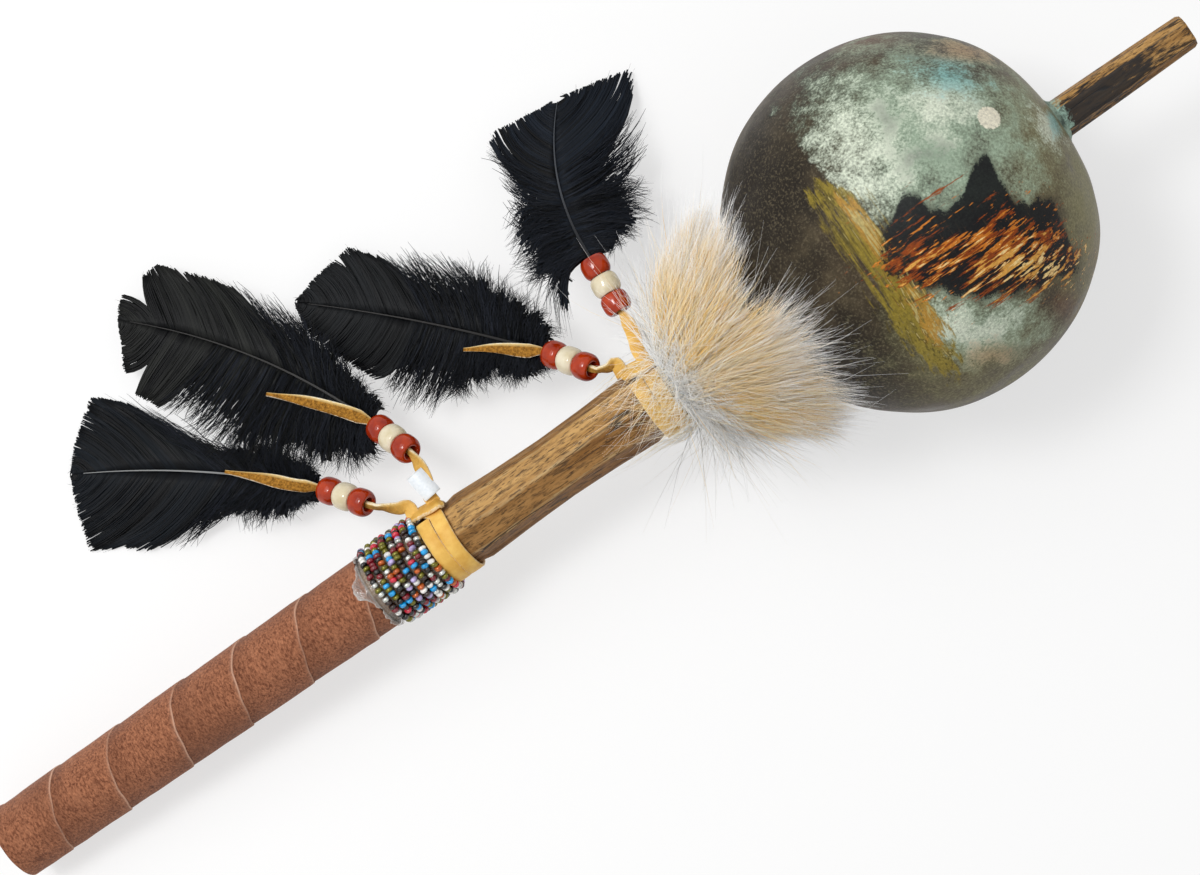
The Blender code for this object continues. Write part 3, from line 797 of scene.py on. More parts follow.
@dataclass(frozen=True)
class PonyPlastic(Finish):
    """Moulded polystyrene bead: even colour, deep gloss and a slight flow mark."""

    label: str
    base: str
    deep: str

    def wire(self, look: Look) -> None:
        """Connect the flow marks and the gloss.

        Args:
            look: the material's nodes.
        """
        flow = look.noise(4.0, 3.0)
        look.set({"Base Color": look.blend(look.ramp(flow, (0.35, 0.68)), self.base, self.deep),
                  "Roughness": look.ramp(flow, given=(0.04, 0.13)), "Specular IOR Level": 0.36})
        look.bump(flow, 0.08, 0.3)


@dataclass(frozen=True)
class BlackFeather(Finish):
    """Dyed black feather keratin: near black with a cool satin gleam, painted into its colour, that changes from barb
    to barb.
    """

    label: str
    gleam: str
    dark: str = "#08090b"
    roughness: Range = (0.42, 0.62)

    def wire(self, look: Look) -> None:
        """Tint each barb, paler towards its end.

        Args:
            look: the material's nodes.
        """
        tint = look.mark("tint")
        # Each barb's tint, partly its own tone and partly a painted sheen, blends the near black towards the gleam
        # colour.
        look.set({"Base Color": look.blend(tint, self.dark, self.gleam),
                  "Roughness": look.ramp(tint, given=self.roughness), "Specular IOR Level": 0.12})


@dataclass(frozen=True)
class TagPaper(Finish):
    """Coated label paper, blank: bluish white, a little grubby at its edges."""

    label: str = "blank_label_paper"

    def wire(self, look: Look) -> None:
        """Connect the fibres and the grubby edge.

        Args:
            look: the material's nodes.
        """
        fibre = look.noise(0.8, 4.0)
        colour = look.blend(look.ramp(fibre, (0.4, 0.8), (0.0, 0.5)), "#eef3f7", "#cfd9e2")
        look.set({"Base Color": look.over(colour, (look.mark("cut"), "#c9ccc9")),
                  "Roughness": look.ramp(fibre, given=(0.35, 0.55))})
        look.bump(fibre, 0.15, 0.1)


@dataclass(frozen=True)
class StudioFloor(Finish):
    """Matt white card under the rattle: even, with only the faintest tooth, and a soft shadow."""

    label: str = "white_card"
    glow: float = 0.6

    def wire(self, look: Look) -> None:
        """Connect the card's tooth and the white that the eye and a reflection see.

        Args:
            look: the material's nodes.
        """
        look.set({"Base Color": WHITE, "Roughness": look.ramp(look.noise(1.0), given=(0.9, 1.0)),
                  "Specular IOR Level": 0.0})
        white = look.add("Emission", {"Color": WHITE, "Strength": 1.0})
        share = look.ramp(seen_directly(look.tree), given=(0.0, self.glow))
        mixed = look.add("MixShader", {0: share, 1: look.shader.outputs[0], 2: white})
        fill_inputs(look.tree, look.output, {"Surface": mixed})


def put(name: str, data: bpy.types.ID) -> Piece:
    """Put a mesh, a lamp or a camera into the scene.

    Args:
        name: the object's name.
        data: what it shows.

    Returns:
        The object.
    """
    item = bpy.data.objects.new(name, data)
    bpy.context.scene.collection.objects.link(item)
    return item


def add_piece(name: str, mesh: Mesh, finish: Finish, slot: str, *nodes: str,
              body: str = FIXED_BODY) -> Piece:
    """Put a mesh into the scene as a dressed piece of the rattle.

    Args:
        name: the piece's name.
        mesh: its mesh, in place.
        finish: what it is made of.
        slot: the record's material slot; not used.
        *nodes: the CAD nodes it stands for.
        body: the body it moves with.

    Returns:
        The piece.
    """
    piece = put(name, mesh)
    mesh.materials.append(finish.material())
    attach(piece, body)
    if nodes:
        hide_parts(*nodes)
    LOG.info("%s on %s: %d faces", name, body, len(mesh.polygons))
    return piece


def dress_node(node: str, finish: Finish) -> None:
    """Give a CAD node that keeps its own shape its finish.

    Args:
        node: the node's name.
        finish: what it is made of.
    """
    item = frame["nodes"][node]
    item.data.materials.clear()
    item.data.materials.append(finish.material())
    LOG.info("%s keeps its CAD shape", node)


@dataclass
class Stick:
    """Carved stick with eight worn flats, waisted between the ties and painted beyond the gourd."""

    stations: tuple[float, ...] = (0.0, 138.0, 173.2, 176.0, 190.0, 207.0, 224.0, 237.0, 239.4, 252.0, 266.0,
                                   281.0, 300.0, 386.0, 416.0, 433.0)
    radii: tuple[float, ...] = (10.4, 10.4, 10.5, 11.1, 10.5, 10.1, 10.5, 11.1, 10.5, 10.5, 9.4, 8.4, 7.4, 6.1,
                                5.6, 5.3)
    grip_corners: tuple[float, ...] = (180.0, 225.0, 270.0, 315.0, 360.0, 405.0, 450.0, 495.0)
    tip_corners: tuple[float, ...] = (154.0, 221.0, 268.0, 312.0, 356.0, 402.0, 448.0, 484.0)
    tip_cover: tuple[float, ...] = (1.0, 0.62, 0.9, 0.9, 0.9, 0.9, 0.35, 0.5)
    around: int = 72
    corner: float = 0.05
    # How far painted shade darkens each facet.
    painted_shade: tuple[float, ...] = (0.55, 0.7, 0.8, 0.8, 0.7, 0.5, 0.4, 0.0)
    thinning: Range = (300.0, 380.0)
    paint_edge: Range = (384.0, 387.0)

    def rows(self) -> Array:
        """Stations of the skin's rings, close together where the wood shows."""
        return np.concatenate([np.linspace(0.0, 170.0, 50), np.linspace(172.0, 250.0, 120),
                               np.linspace(253.0, 384.0, 30), np.linspace(385.0, 432.0, 66), [432.5, 432.85, 433.0]])

    def shape(self, u: Array, v: Array) -> Skin:
        """Shape the stick's skin.

        Args:
            u: share of the way round.
            v: share of the way along.

        Returns:
            Points and marks.
        """
        rows = self.rows()
        station, angle = np.interp(v, np.linspace(0.0, 1.0, len(rows)), rows), u * TURN
        drift = 0.09 * np.sin(station / 29.0 + 1.0) + 0.05 * np.sin(station / 11.0)
        tip = smooth(*self.thinning, station)[:, None]
        corners = np.radians(self.grip_corners) * (1.0 - tip) + np.radians(self.tip_corners) * tip
        corners = np.concatenate([corners, corners[:, :1] + TURN], axis=1)
        turned = corners[:, 0] + (angle + drift * (1.0 - tip[:, 0]) - corners[:, 0]) % TURN
        facet = np.clip(np.sum(turned[:, None] >= corners, axis=1) - 1, 0, 7)
        pick = np.arange(len(facet))
        low, high = corners[pick, facet], corners[pick, facet + 1]
        half, middle = (high - low) / 2.0, (high + low) / 2.0
        off = half - np.abs(turned - middle)
        from_flat = half + self.corner - np.hypot(off, self.corner)
        radius = np.interp(station, self.stations, self.radii) * np.cos(half) / np.cos(from_flat)
        flat = np.stack([station * 0.12, radius * np.cos(angle), radius * np.sin(angle)], axis=-1)
        radius += 0.14 * ripple(flat, 5.0, 3) * smooth(0.0, 6.0, station)
        radius *= 1.0 - 0.09 * smooth(432.0, 433.0, station)
        ridge = np.exp(-(off / 0.1) ** 2)
        # Painted shade by facet, halved towards the tip.
        facet_shade = np.array(self.painted_shade)[facet] * (1.0 - 0.5 * tip[:, 0])
        beyond, cover = smooth(*self.paint_edge, station), np.array(self.tip_cover)[facet]
        painted = beyond * cover * (1.0 - 0.6 * smooth(404.0, 430.0, station))
        smear = beyond * (1.0 - 0.75 * smooth(387.5, 397.0, station)) * np.where(facet == 1, 0.6, 1.0)
        return AXIS.place(station, radius, angle), {"ridge": ridge * (1.0 - 0.4 * painted), "facet_shade": facet_shade,
                                                    "painted": painted, "smear": smear}

    def build(self) -> None:
        """Model the stick and put it in place of its plain solid."""
        mesh = bent_body("stick_carved", self.around, len(self.rows()) - 1, self.shape)
        add_piece("stick_carved", mesh, CarvedWood(), "stick_wood", "stick")


@dataclass
class Gourd:
    """Gourd shell with its two walls, painted with dusk hills under a cloudy sky."""

    station: float = 335.8
    reach: float = 56.2
    wall: float = 3.8
    top_flat: float = 4.3
    top_spread: float = math.radians(38.0)
    tip_hole: float = 6.6
    neck_hole: float = 9.0
    around: int = 288
    rows: int = 180
    outer_share: float = 0.78
    picture_turn: float = math.radians(34.7)
    fillet_grid: Grid = (72, 16)
    fillet_outline: Outline = ((6.05, 1.2), (6.4, 0.75), (6.9, 0.35), (7.6, 0.1), (8.4, -0.12), (7.6, -0.2),
                               (6.7, -0.3), (6.05, -0.3), (6.05, 1.2))
    patches: tuple[tuple[str, tuple[Oval, ...]], ...] = (
        ("dusk", ((-0.84, 0.05, 0.40, 0.80), (-0.34, -0.76, 0.42, 0.32))),
        ("rust", ((0.92, -0.16, 0.16, 0.20), (0.74, -0.46, 0.16, 0.10), (-0.30, 0.92, 0.3, 0.1))),
        ("olive", ((0.62, 0.46, 0.34, 0.44), (0.30, -0.66, 0.42, 0.24), (0.86, 0.06, 0.22, 0.52))),
        ("mint", ((-0.02, 0.40, 0.50, 0.42),)),
        ("pale", ((-0.34, 0.30, 0.26, 0.30), (0.04, 0.52, 0.22, 0.18), (0.66, 0.46, 0.12, 0.12),
                  (0.22, -0.58, 0.24, 0.11))),
        ("teal", ((0.10, 0.68, 0.22, 0.12), (0.72, 0.50, 0.06, 0.12))),
        ("peach", ((0.22, 0.85, 0.24, 0.08), (0.34, -0.72, 0.16, 0.07))),
        ("smoke", ((-0.22, 0.44, 0.09, 0.10), (-0.06, 0.26, 0.12, 0.07), (0.02, 0.80, 0.16, 0.06),
                   (0.44, -0.70, 0.16, 0.05))),
        ("ember", ((0.34, -0.22, 0.48, 0.17),)),
        ("flare", ((0.44, -0.27, 0.34, 0.10),)),
    )

    def fields(self, facing: Array) -> dict[str, Array]:
        """Paint fields, about 1 in the middle of each patch and below 0 away from it.

        Args:
            facing: the shell's outward directions.

        Returns:
            One field for each coat of paint.
        """
        turn = self.picture_turn
        a = facing @ np.array((math.cos(turn), -math.sin(turn), 0.0))
        b = facing @ np.array((math.sin(turn), math.cos(turn), 0.0))
        hidden = 3.0 * (1.0 - smooth(-0.25, 0.2, facing[:, 2]))

        def patch(x: float, y: float, wide: float, high: float) -> Array:
            """Soft oval patch, 1 at its middle, 0.5 on its outline."""
            return 1.0 - 0.5 * np.hypot((a - x) / wide, (b - y) / high)

        sweep = (a + 0.50) * 0.82 + (b - 0.10) * 0.57
        right = 1.2 * (1.0 - smooth(-0.08, 0.04, sweep))
        skyline = (-0.20 + 0.26 * np.exp(-((a + 0.10) / 0.13) ** 2) + 0.44 * np.exp(-((a - 0.26) / 0.17) ** 2)
                   + 0.26 * np.exp(-((a - 0.58) / 0.12) ** 2) + 0.02 * np.sin(a * 31.0) + 0.012 * np.sin(a * 73.0))
        foot = -0.34 - 0.09 * np.cos((a - 0.25) * 4.0) + 0.015 * np.sin(a * 41.0)
        inside = np.minimum(np.minimum(skyline - b, b - foot), np.minimum(a + 0.24, 0.78 - a) * 0.8)
        hills = 0.5 + 4.0 * inside
        slope = np.minimum(hills, 0.5 + 3.0 * (0.04 - np.abs(b + 0.14 - 0.25 * (a - 0.28))))
        fields = {name: np.maximum.reduce([patch(*row) for row in rows]) for name, rows in self.patches}
        fields |= {
            "mint": np.maximum(fields["mint"], patch(0.24, -0.58, 0.34, 0.17) - 0.05) - right,
            "pale": fields["pale"] - right,
            "stipple": np.full(len(a), 0.5),
            "ochre": (1.0 - 0.5 * np.abs(sweep + 0.01) / 0.085 - 1.2 * smooth(0.06, 0.26, b)
                      - 0.9 * smooth(-0.7, -0.95, b)),
            "gold": 1.0 - 0.5 * np.abs(sweep - 0.02) / 0.05 - smooth(0.0, 0.16, b) - smooth(-0.6, -0.85, b),
            "hills": hills,
            "ridge": slope * 0.8,
            "ember": np.minimum(hills, fields["ember"]),
            "flare": np.minimum(hills, fields["flare"]),
            "disc": 0.5 + 14.0 * (0.062 - np.hypot(a - 0.30, b - 0.46)),
        }
        return {name: np.clip(values - hidden, -2.0, 1.0) for name, values in fields.items()}

    def reach_at(self, polar: Array) -> Array:
        """Distance of the outer wall from the middle at angles from the stick's tip."""
        return self.reach - self.top_flat * np.exp(-(polar / self.top_spread) ** 2)

    def shape(self, u: Array, v: Array) -> Skin:
        """Shape both walls, the inner one under the outer one.

        Args:
            u: share of the way round.
            v: share of the way along them.

        Returns:
            Points and marks.
        """
        low = math.asin(self.tip_hole / (self.reach - self.top_flat))
        high = math.pi - math.asin(self.neck_hole / self.reach)
        outer = v <= self.outer_share
        run = np.where(outer, v / self.outer_share, (1.0 - v) / (1.0 - self.outer_share) * 1.02)
        run = np.where(v >= 1.0, 0.0, np.minimum(run, 1.0))
        polar, angle = low + (high - low) * run, u * TURN
        reach = self.reach_at(polar)
        facing = np.cos(polar)[:, None] * AXIS.along + np.sin(polar)[:, None] * AXIS.outward(angle)
        lumps = 0.45 * ripple(facing * reach[:, None], 46.0, 5) + 0.12 * ripple(facing * reach[:, None], 13.0, 6)
        reach = reach + lumps * smooth(0.98, 0.8, -facing[:, 2]) * smooth(0.15, 0.4, polar)
        inner = ~outer & (v < 1.0)
        reach = np.where(inner, reach - self.wall, reach)
        marks = self.fields(facing)
        for values in marks.values():
            values[inner] = -2.0
        return AXIS.butt + AXIS.along * self.station + facing * reach[:, None], marks

    def fillet(self, u: Array, v: Array) -> Skin:
        """Shape the filler that hugs the stick and the gourd at the tip.

        Args:
            u: share of the way round.
            v: share of the way round its section.

        Returns:
            Points and marks.
        """
        angle = u * TURN
        ragged = ripple(np.stack([np.cos(angle), np.sin(angle), 0.0 * angle], axis=-1) * 9.0, 6.0, 7)
        radius, lift = along_outline(self.fillet_outline, v)
        radius = radius + 0.35 * ragged * smooth(7.0, 8.4, radius)
        lift = lift + 0.25 * ragged * smooth(0.3, 1.2, lift)
        polar = np.arcsin(radius / (self.reach - self.top_flat))
        station = self.station + self.reach_at(polar) * np.cos(polar) + lift
        return AXIS.place(station, radius, angle), {}

    def build(self) -> None:
        """Model the shell and the filler at its tip, and dress the pieces inside that stay as they are."""
        mesh = bent_body("gourd_painted", self.around, self.rows, self.shape)
        add_piece("gourd_painted", mesh, PaintedGourd(), "gourd_paint", "gourd_shell")
        add_piece("tip_fillet", bent_body("tip_fillet", *self.fillet_grid, self.fillet),
                  Filler("mint_wood_filler", "#a3bba9", "#46564c"), "tip_filler", "tip_seal")
        dress_node("neck_seal", Filler("brown_wood_filler", "#8a7a60", "#4a4032"))
        for node in frame["nodes"]:
            if node.startswith("seed_"):
                dress_node(node, DrySeed())


@dataclass(frozen=True)
class Tuft:
    """Lobes of the collar: their roots round the stick, where they head over the table and how their hair grows."""

    angle: float | Array
    spread: float | Array
    heading: float | Array
    rise: float | Array
    length: float | Array
    fan: float | Array
    gold: float | Array
    share: float | Array


@dataclass
class FurCollar:
    """Collar of long fur tied under the gourd, which parts into lobes over it."""

    SKIN_MARKS: ClassVar[dict[str, float]] = {"along": 0.16, "tint": 0.3, "gold": 0.5}

    tufts: tuple[Tuft, ...] = (
        Tuft(100.0, 14.0, 37.0, 6.0, 35.0, 4.0, 0.5, 1.3), Tuft(122.0, 14.0, 34.0, 18.0, 39.0, 4.5, 0.8, 1.7),
        Tuft(144.0, 12.0, 26.0, 26.0, 41.0, 4.5, 0.95, 1.5), Tuft(168.0, 11.0, 12.0, 33.0, 35.0, 6.0, 1.0, 1.0),
        Tuft(190.0, 11.0, -6.0, 31.0, 51.0, 5.0, 0.85, 1.5), Tuft(213.0, 12.0, -17.0, 26.0, 43.0, 6.0, 0.85, 1.4),
        Tuft(236.0, 14.0, -29.0, 16.0, 39.0, 5.5, 0.9, 1.7), Tuft(260.0, 14.0, -35.0, 3.0, 34.0, 6.0, 0.55, 1.2),
        Tuft(286.0, 20.0, -36.0, -14.0, 28.0, 10.0, 0.25, 0.9), Tuft(318.0, 24.0, -30.0, -25.0, 27.0, 12.0, 0.4, 0.6),
        Tuft(355.0, 24.0, 0.0, -28.0, 25.0, 12.0, 0.5, 0.6), Tuft(35.0, 24.0, 30.0, -25.0, 28.0, 12.0, 0.4, 0.6),
        Tuft(72.0, 18.0, 38.0, -8.0, 27.0, 7.0, 0.3, 1.0),
    )
    first: float = 250.2
    last: float = 266.0
    root_radius: float = 11.6
    root_slope: float = 0.42
    locks: int = 900
    gourd_clearance: float = 57.0
    steps: int = 6
    widths: Range = (0.7, 1.3)
    lock_lengths: Range = (0.74, 1.06)
    lock_curl: float = 11.0
    root_scatter: Range = (2.2, 6.0)
    skin_grid: Grid = (48, 30)
    skin_outline: Outline = ((250.4, 10.9), (250.4, 12.2), (256.0, 14.0), (264.0, 17.5), (272.0, 21.0), (279.0, 23.5),
                             (282.0, 22.5), (281.0, 18.0), (279.0, 12.0), (276.0, 10.9), (250.4, 10.9))

    @property
    def share(self) -> Array:
        """Places on a hair, from 0 at its root to 1 at its tip."""
        return np.linspace(0.0, 1.0, self.steps)

    def clear(self, paths: Array, lift: Array) -> Array:
        """Push hair out of the gourd and up from the table.

        Args:
            paths: hair points in millimetres.
            lift: height of each point's layer over the gourd.

        Returns:
            The points, outside the gourd.
        """
        middle = AXIS.butt + AXIS.along * Gourd.station
        off = paths - middle
        reach = np.linalg.norm(off, axis=-1)
        wanted = np.maximum(reach, self.gourd_clearance + lift)
        paths = middle + off * (wanted / reach)[..., None]
        paths[..., 2] = np.maximum(paths[..., 2], 0.6)
        return paths

    def root(self, station: Array, angle: Array) -> Array:
        """Points on the skin that hair grows from."""
        return AXIS.place(station, self.root_radius + self.root_slope * (station - self.first), angle)

    def lay(self, paths: Array, half_width: Array, along: Array, tint: Array, gold: Array) -> Strands:
        """Gather hairs into strands.

        Args:
            paths: hair points in millimetres.
            half_width: half of each hair's width at its root.
            along: place on the hair from 0 at the root, for its colour.
            tint: paleness of each hair.
            gold: how golden each hair is.

        Returns:
            The strands.
        """
        width = half_width[:, None] * (1.0 - 0.8 * self.share ** 1.6)
        off = paths - AXIS.butt
        outward = unit(off - (off @ AXIS.along)[..., None] * AXIS.along)
        outward[..., 2] += 0.9 * np.clip(0.6 + 3.0 * outward[..., 2], 0.0, 1.0)
        strands = Strands()
        marks = {"along": along, "tint": tint[:, None], "gold": gold[:, None]}
        strands.add(paths, width, width, np.array((0.13, 0.21, 0.97)), unit(outward),
                    **{label: np.broadcast_to(values, width.shape) for label, values in marks.items()})
        return strands

    def hair(self, count: int, seed: int, reach: Range, half_width: float, gather: float,
             wild: float, wave: float = 0.6) -> Strands:
        """Lay hair in locks that run together towards their tips.

        Args:
            count: how many hairs.
            seed: picks the hairs.
            reach: least and greatest length as a share of the tuft's.
            half_width: half a hair's width at its root.
            gather: how far hairs run together at the tip.
            wild: how far hairs stray, in degrees.
            wave: how far hairs wave.

        Returns:
            The strands.
        """
        rng, lock_rng = np.random.default_rng(seed), np.random.default_rng(7)
        table = np.array([astuple(tuft) for tuft in self.tufts])
        odds = table[:, -1] / table[:, -1].sum()
        tuft = Tuft(*table[lock_rng.choice(len(table), self.locks, p=odds)].T)
        aside = np.clip(lock_rng.normal(0.0, 0.6, self.locks), -1.5, 1.5)
        lock_angle = tuft.angle + aside * tuft.spread
        lock_heading = tuft.heading - aside * tuft.spread * 0.3 + lock_rng.normal(0.0, 1.0, self.locks) * tuft.fan
        lock_rise = tuft.rise + lock_rng.normal(0.0, 1.0, self.locks) * tuft.fan
        lock_length = tuft.length * lock_rng.uniform(*self.lock_lengths, self.locks)
        lock_station = self.first + (self.last - self.first) * lock_rng.random(self.locks) ** 1.1
        lock_gold = np.clip(tuft.gold + lock_rng.normal(0.0, 0.14, self.locks), 0.0, 1.0)
        lock_curl = lock_rng.normal(0.0, self.lock_curl, self.locks)
        own = rng.integers(0, self.locks, count)
        along, around = self.root_scatter
        station = np.clip(lock_station[own] + rng.normal(0.0, along, count), self.first, self.last + 2.0)
        angle = np.radians(lock_angle[own] + rng.normal(0.0, around, count))
        heading = lock_heading[own] + rng.normal(0.0, wild, count)
        rise = lock_rise[own] + rng.normal(0.0, wild, count)
        root = self.root(station, angle)
        centre = self.root(lock_station, np.radians(lock_angle))[own]
        share = self.share
        full = rng.uniform(*reach, count)
        length = lock_length[own] * full
        start = unit(direction(heading - lock_curl[own] * 0.5, rise) + 0.3 * AXIS.outward(angle))
        end = direction(heading + lock_curl[own], rise)
        bend = share * share / 2.0
        paths = root[:, None, :] + length[:, None, None] * (
            start[:, None, :] * (share - bend)[None, :, None] + end[:, None, :] * bend[None, :, None])
        paths += (centre - root)[:, None, :] * (gather * share ** 1.5)[None, :, None]
        sway = rng.normal(0.0, wave, (count, 3))
        paths += sway[:, None, :] * waves(rng, count, share, (2.0, 6.0))[..., None]
        paths = self.clear(paths, rng.uniform(0.0, 4.0, count)[:, None] * np.sqrt(share)[None, :])
        tint = np.clip(rng.normal(0.5, 0.3, count), 0.0, 1.0)
        half_widths = half_width * rng.uniform(*self.widths, count)
        return self.lay(paths, half_widths, full[:, None] * share, tint, lock_gold[own])

    def wild_hair(self, count: int, seed: int, angles: Range, back: Range,
                  length: Range, curl: float, half_width: float, gold: float,
                  shade: Range) -> Strands:
        """Lay disordered hair that leans any way from the edge of the tie.

        Args:
            count: how many hairs.
            seed: picks the hairs.
            angles: range of its roots round the stick, in degrees.
            back: range of its lean from the stick's line, in degrees.
            length: least and greatest length.
            curl: how far it curls.
            half_width: half a hair's width at its root.
            gold: how golden the most golden hair is.
            shade: its colour at root and tip, as places on a hair.

        Returns:
            The strands.
        """
        rng, share = np.random.default_rng(seed), self.share
        angle = np.radians(rng.uniform(*angles, count))
        station = self.first + 9.0 * rng.random(count) ** 1.5
        lean = np.radians(rng.uniform(*back, count))
        turn = angle + rng.normal(0.0, 0.6, count)
        way = np.cos(lean)[:, None] * AXIS.along + np.sin(lean)[:, None] * AXIS.outward(turn)
        run = rng.uniform(*length, count) * rng.uniform(0.6, 1.0, count)
        paths = self.root(station, angle)[:, None, :] + way[:, None, :] * (run[:, None] * share)[..., None]
        paths += rng.normal(0.0, curl, (count, 3))[:, None, :] * (share ** 2)[None, :, None]
        wave = waves(rng, count, share, (3.0, 7.0))
        paths += rng.normal(0.0, 0.2 * curl, (count, 3))[:, None, :] * wave[..., None]
        paths = self.clear(paths, rng.uniform(0.0, 5.0, count)[:, None] * share)
        return self.lay(paths, half_width * rng.uniform(*self.widths, count), np.interp(share, UNIT, shade),
                        rng.random(count), gold * rng.random(count))

    def strays(self, count: int, seed: int) -> Strands:
        """Lay single long hairs back over the tie and the bare stick.

        Args:
            count: how many hairs.
            seed: picks the hairs.

        Returns:
            The strands.
        """
        rng, share = np.random.default_rng(seed), self.share
        angle = np.radians(rng.uniform(110.0, 285.0, count))
        run = rng.uniform(10.0, 36.0, count) * rng.uniform(0.6, 1.0, count)
        back = rng.uniform(250.6, 255.0, count)[:, None] - run[:, None] * share
        lift = rng.uniform(0.0, 2.4, count)[:, None] * np.sin(share * 2.8)
        drift = rng.normal(0.0, 0.7, count)[:, None] * share + rng.normal(0.0, 0.6, count)[:, None] * share ** 2
        radius = 13.1 - 1.5 * smooth(242.0, 238.5, back) + lift
        return self.lay(AXIS.place(back, radius, angle[:, None] + drift), 0.05 * rng.uniform(*self.widths, count),
                        0.35 + 0.5 * share, 0.4 + 0.6 * rng.random(count), rng.random(count))

    def core(self, u: Array, v: Array) -> Skin:
        """Shape the skin under the hair, a closed bell round the stick.

        Args:
            u: share of the way round.
            v: share of the way round its section.

        Returns:
            Points and marks.
        """
        station, radius = along_outline(self.skin_outline, v)
        paths = AXIS.place(station, radius, u * TURN)
        paths = np.where((radius > 13.0)[:, None], self.clear(paths, np.full(len(paths), -0.6)), paths)
        return paths, {label: np.full(len(u), value) for label, value in self.SKIN_MARKS.items()}

    def build(self) -> None:
        """Model the skin and the coats of hair."""
        skin = bent_body("fur_skin", *self.skin_grid, self.core)
        add_piece("fur_skin", skin, FurHair(), "fur", "fur_collar")
        coats = {
            "fur_under": self.hair(6000, 11, (0.45, 0.85), 0.14, 0.3, 4.0),
            "fur_coat_low": self.hair(6000, 12, (0.7, 1.0), 0.09, 0.5, 3.5),
            "fur_coat_high": self.hair(6000, 13, (0.8, 1.06), 0.07, 0.6, 3.5),
            "fur_coat_fine": self.hair(6000, 16, (0.75, 1.12), 0.055, 0.3, 6.0),
            "fur_guard": self.hair(420, 14, (1.0, 1.3), 0.05, 0.1, 17.0),
            "fur_ruff": self.wild_hair(5900, 17, (0.0, 360.0), (5.0, 84.0), (9.0, 30.0), 6.0, 0.065, 0.25,
                                       (0.12, 0.98)),
            "fur_wisps": self.wild_hair(340, 18, (225.0, 310.0), (15.0, 135.0), (12.0, 26.0), 9.0, 0.05, 0.6,
                                        (0.06, 0.3)),
            "fur_flyaway": self.hair(330, 19, (0.75, 1.3), 0.06, 0.0, 36.0, 2.2),
            "fur_strays": self.strays(230, 15),
        }
        for name, strands in coats.items():
            add_piece(name, strands.mesh(name), FurHair(), "fur")


@dataclass
class Grip:
    """Suede strip wound along the handle, each turn lapped over the last."""

    length: float = 140.0
    pitch: float = 22.5
    lap: float = 3.4
    radius: float = 11.55
    rise: float = 0.42
    depth: float = 0.85
    seam_station: float = 20.0
    seam_shifts: tuple[float, ...] = (0.0, 0.0, 2.5, 3.0, 4.0, 6.0)
    around: int = 96
    section: Outline = ((0.0, 0.0), (0.0, 0.5), (0.02, 1.0), (0.12, 1.0), (0.22, 1.0), (0.34, 1.0), (0.46, 1.0),
                        (0.58, 1.0), (0.7, 1.0), (0.82, 1.0), (0.93, 1.0), (0.975, 1.0), (0.991, 0.97), (1.0, 0.75),
                        (1.0, 0.25), (0.97, 0.0), (0.6, 0.0), (0.3, 0.0))

    @property
    def turns(self) -> int:
        """Turns that are wound, past both ends of the handle."""
        return math.ceil(self.length / self.pitch) + 3

    def shape(self, u: Array, v: Array) -> Skin:
        """Shape the wound strip.

        Args:
            u: share of the way round its section.
            v: share of the way along its winding.

        Returns:
            Points and marks.
        """
        winding, section = v * self.turns, np.array(self.section)
        angle = math.pi - winding * TURN
        at = section[np.rint(u * len(section)).astype(int) % len(section)]
        wide = self.pitch + self.lap
        first = self.seam_station - 2.0 * self.pitch - wide
        shift = np.interp(winding, np.arange(len(self.seam_shifts)) + 2.0, self.seam_shifts)
        wander = 0.4 * np.sin(winding * 7.3) + 0.25 * np.sin(winding * 17.9 + 1.0) + 0.12 * np.sin(winding * 53.0)
        edge = np.where(at[:, 0] > 0.9, 1.0, 0.0)
        station = first + winding * self.pitch + shift + at[:, 0] * wide + wander * edge
        skin = np.stack([station, 12.0 * np.cos(angle), 12.0 * np.sin(angle)], axis=-1)
        lumps = 0.07 * ripple(skin, 8.0, 8) + 0.04 * ripple(skin * np.array((1.0, 0.45, 0.45)), 2.6, 10)
        radius = (self.radius - self.rise / 2.0 + self.rise * at[:, 0] + self.depth * (at[:, 1] - 0.5)
                  + lumps * at[:, 1])
        frayed = np.clip(0.75 + 0.35 * np.sin(winding * 11.0 + 2.0), 0.0, 0.95)
        seam = smooth(0.97, 0.99, at[:, 0]) * at[:, 1] * frayed
        # Painted shade where the strip runs under the edge of the turn lapped over it, and just beside that edge.
        tucked = smooth(0.14, 0.05, at[:, 0] - self.lap / wide) * 0.25 * at[:, 1]
        return AXIS.place(station, radius, angle), {"seam": seam, "tucked": tucked}

    def build(self) -> None:
        """Model the strip and cut it flush at both ends."""
        bm = bent_grid(len(self.section), self.turns * self.around, self.shape)
        bmesh.ops.remove_doubles(bm, verts=bm.verts, dist=SEAM)
        for station, way in ((0.0, -1.0), (self.length, 1.0)):
            plane = Vector((AXIS.butt + AXIS.along * station) * MM)
            bmesh.ops.bisect_plane(bm, geom=bm.verts[:] + bm.edges[:] + bm.faces[:], clear_outer=True,
                                   plane_co=plane, plane_no=Vector(AXIS.along * way))
        add_piece("grip_suede", close_body(bm, "grip_suede"), Suede(), "suede", "grip_wrap")


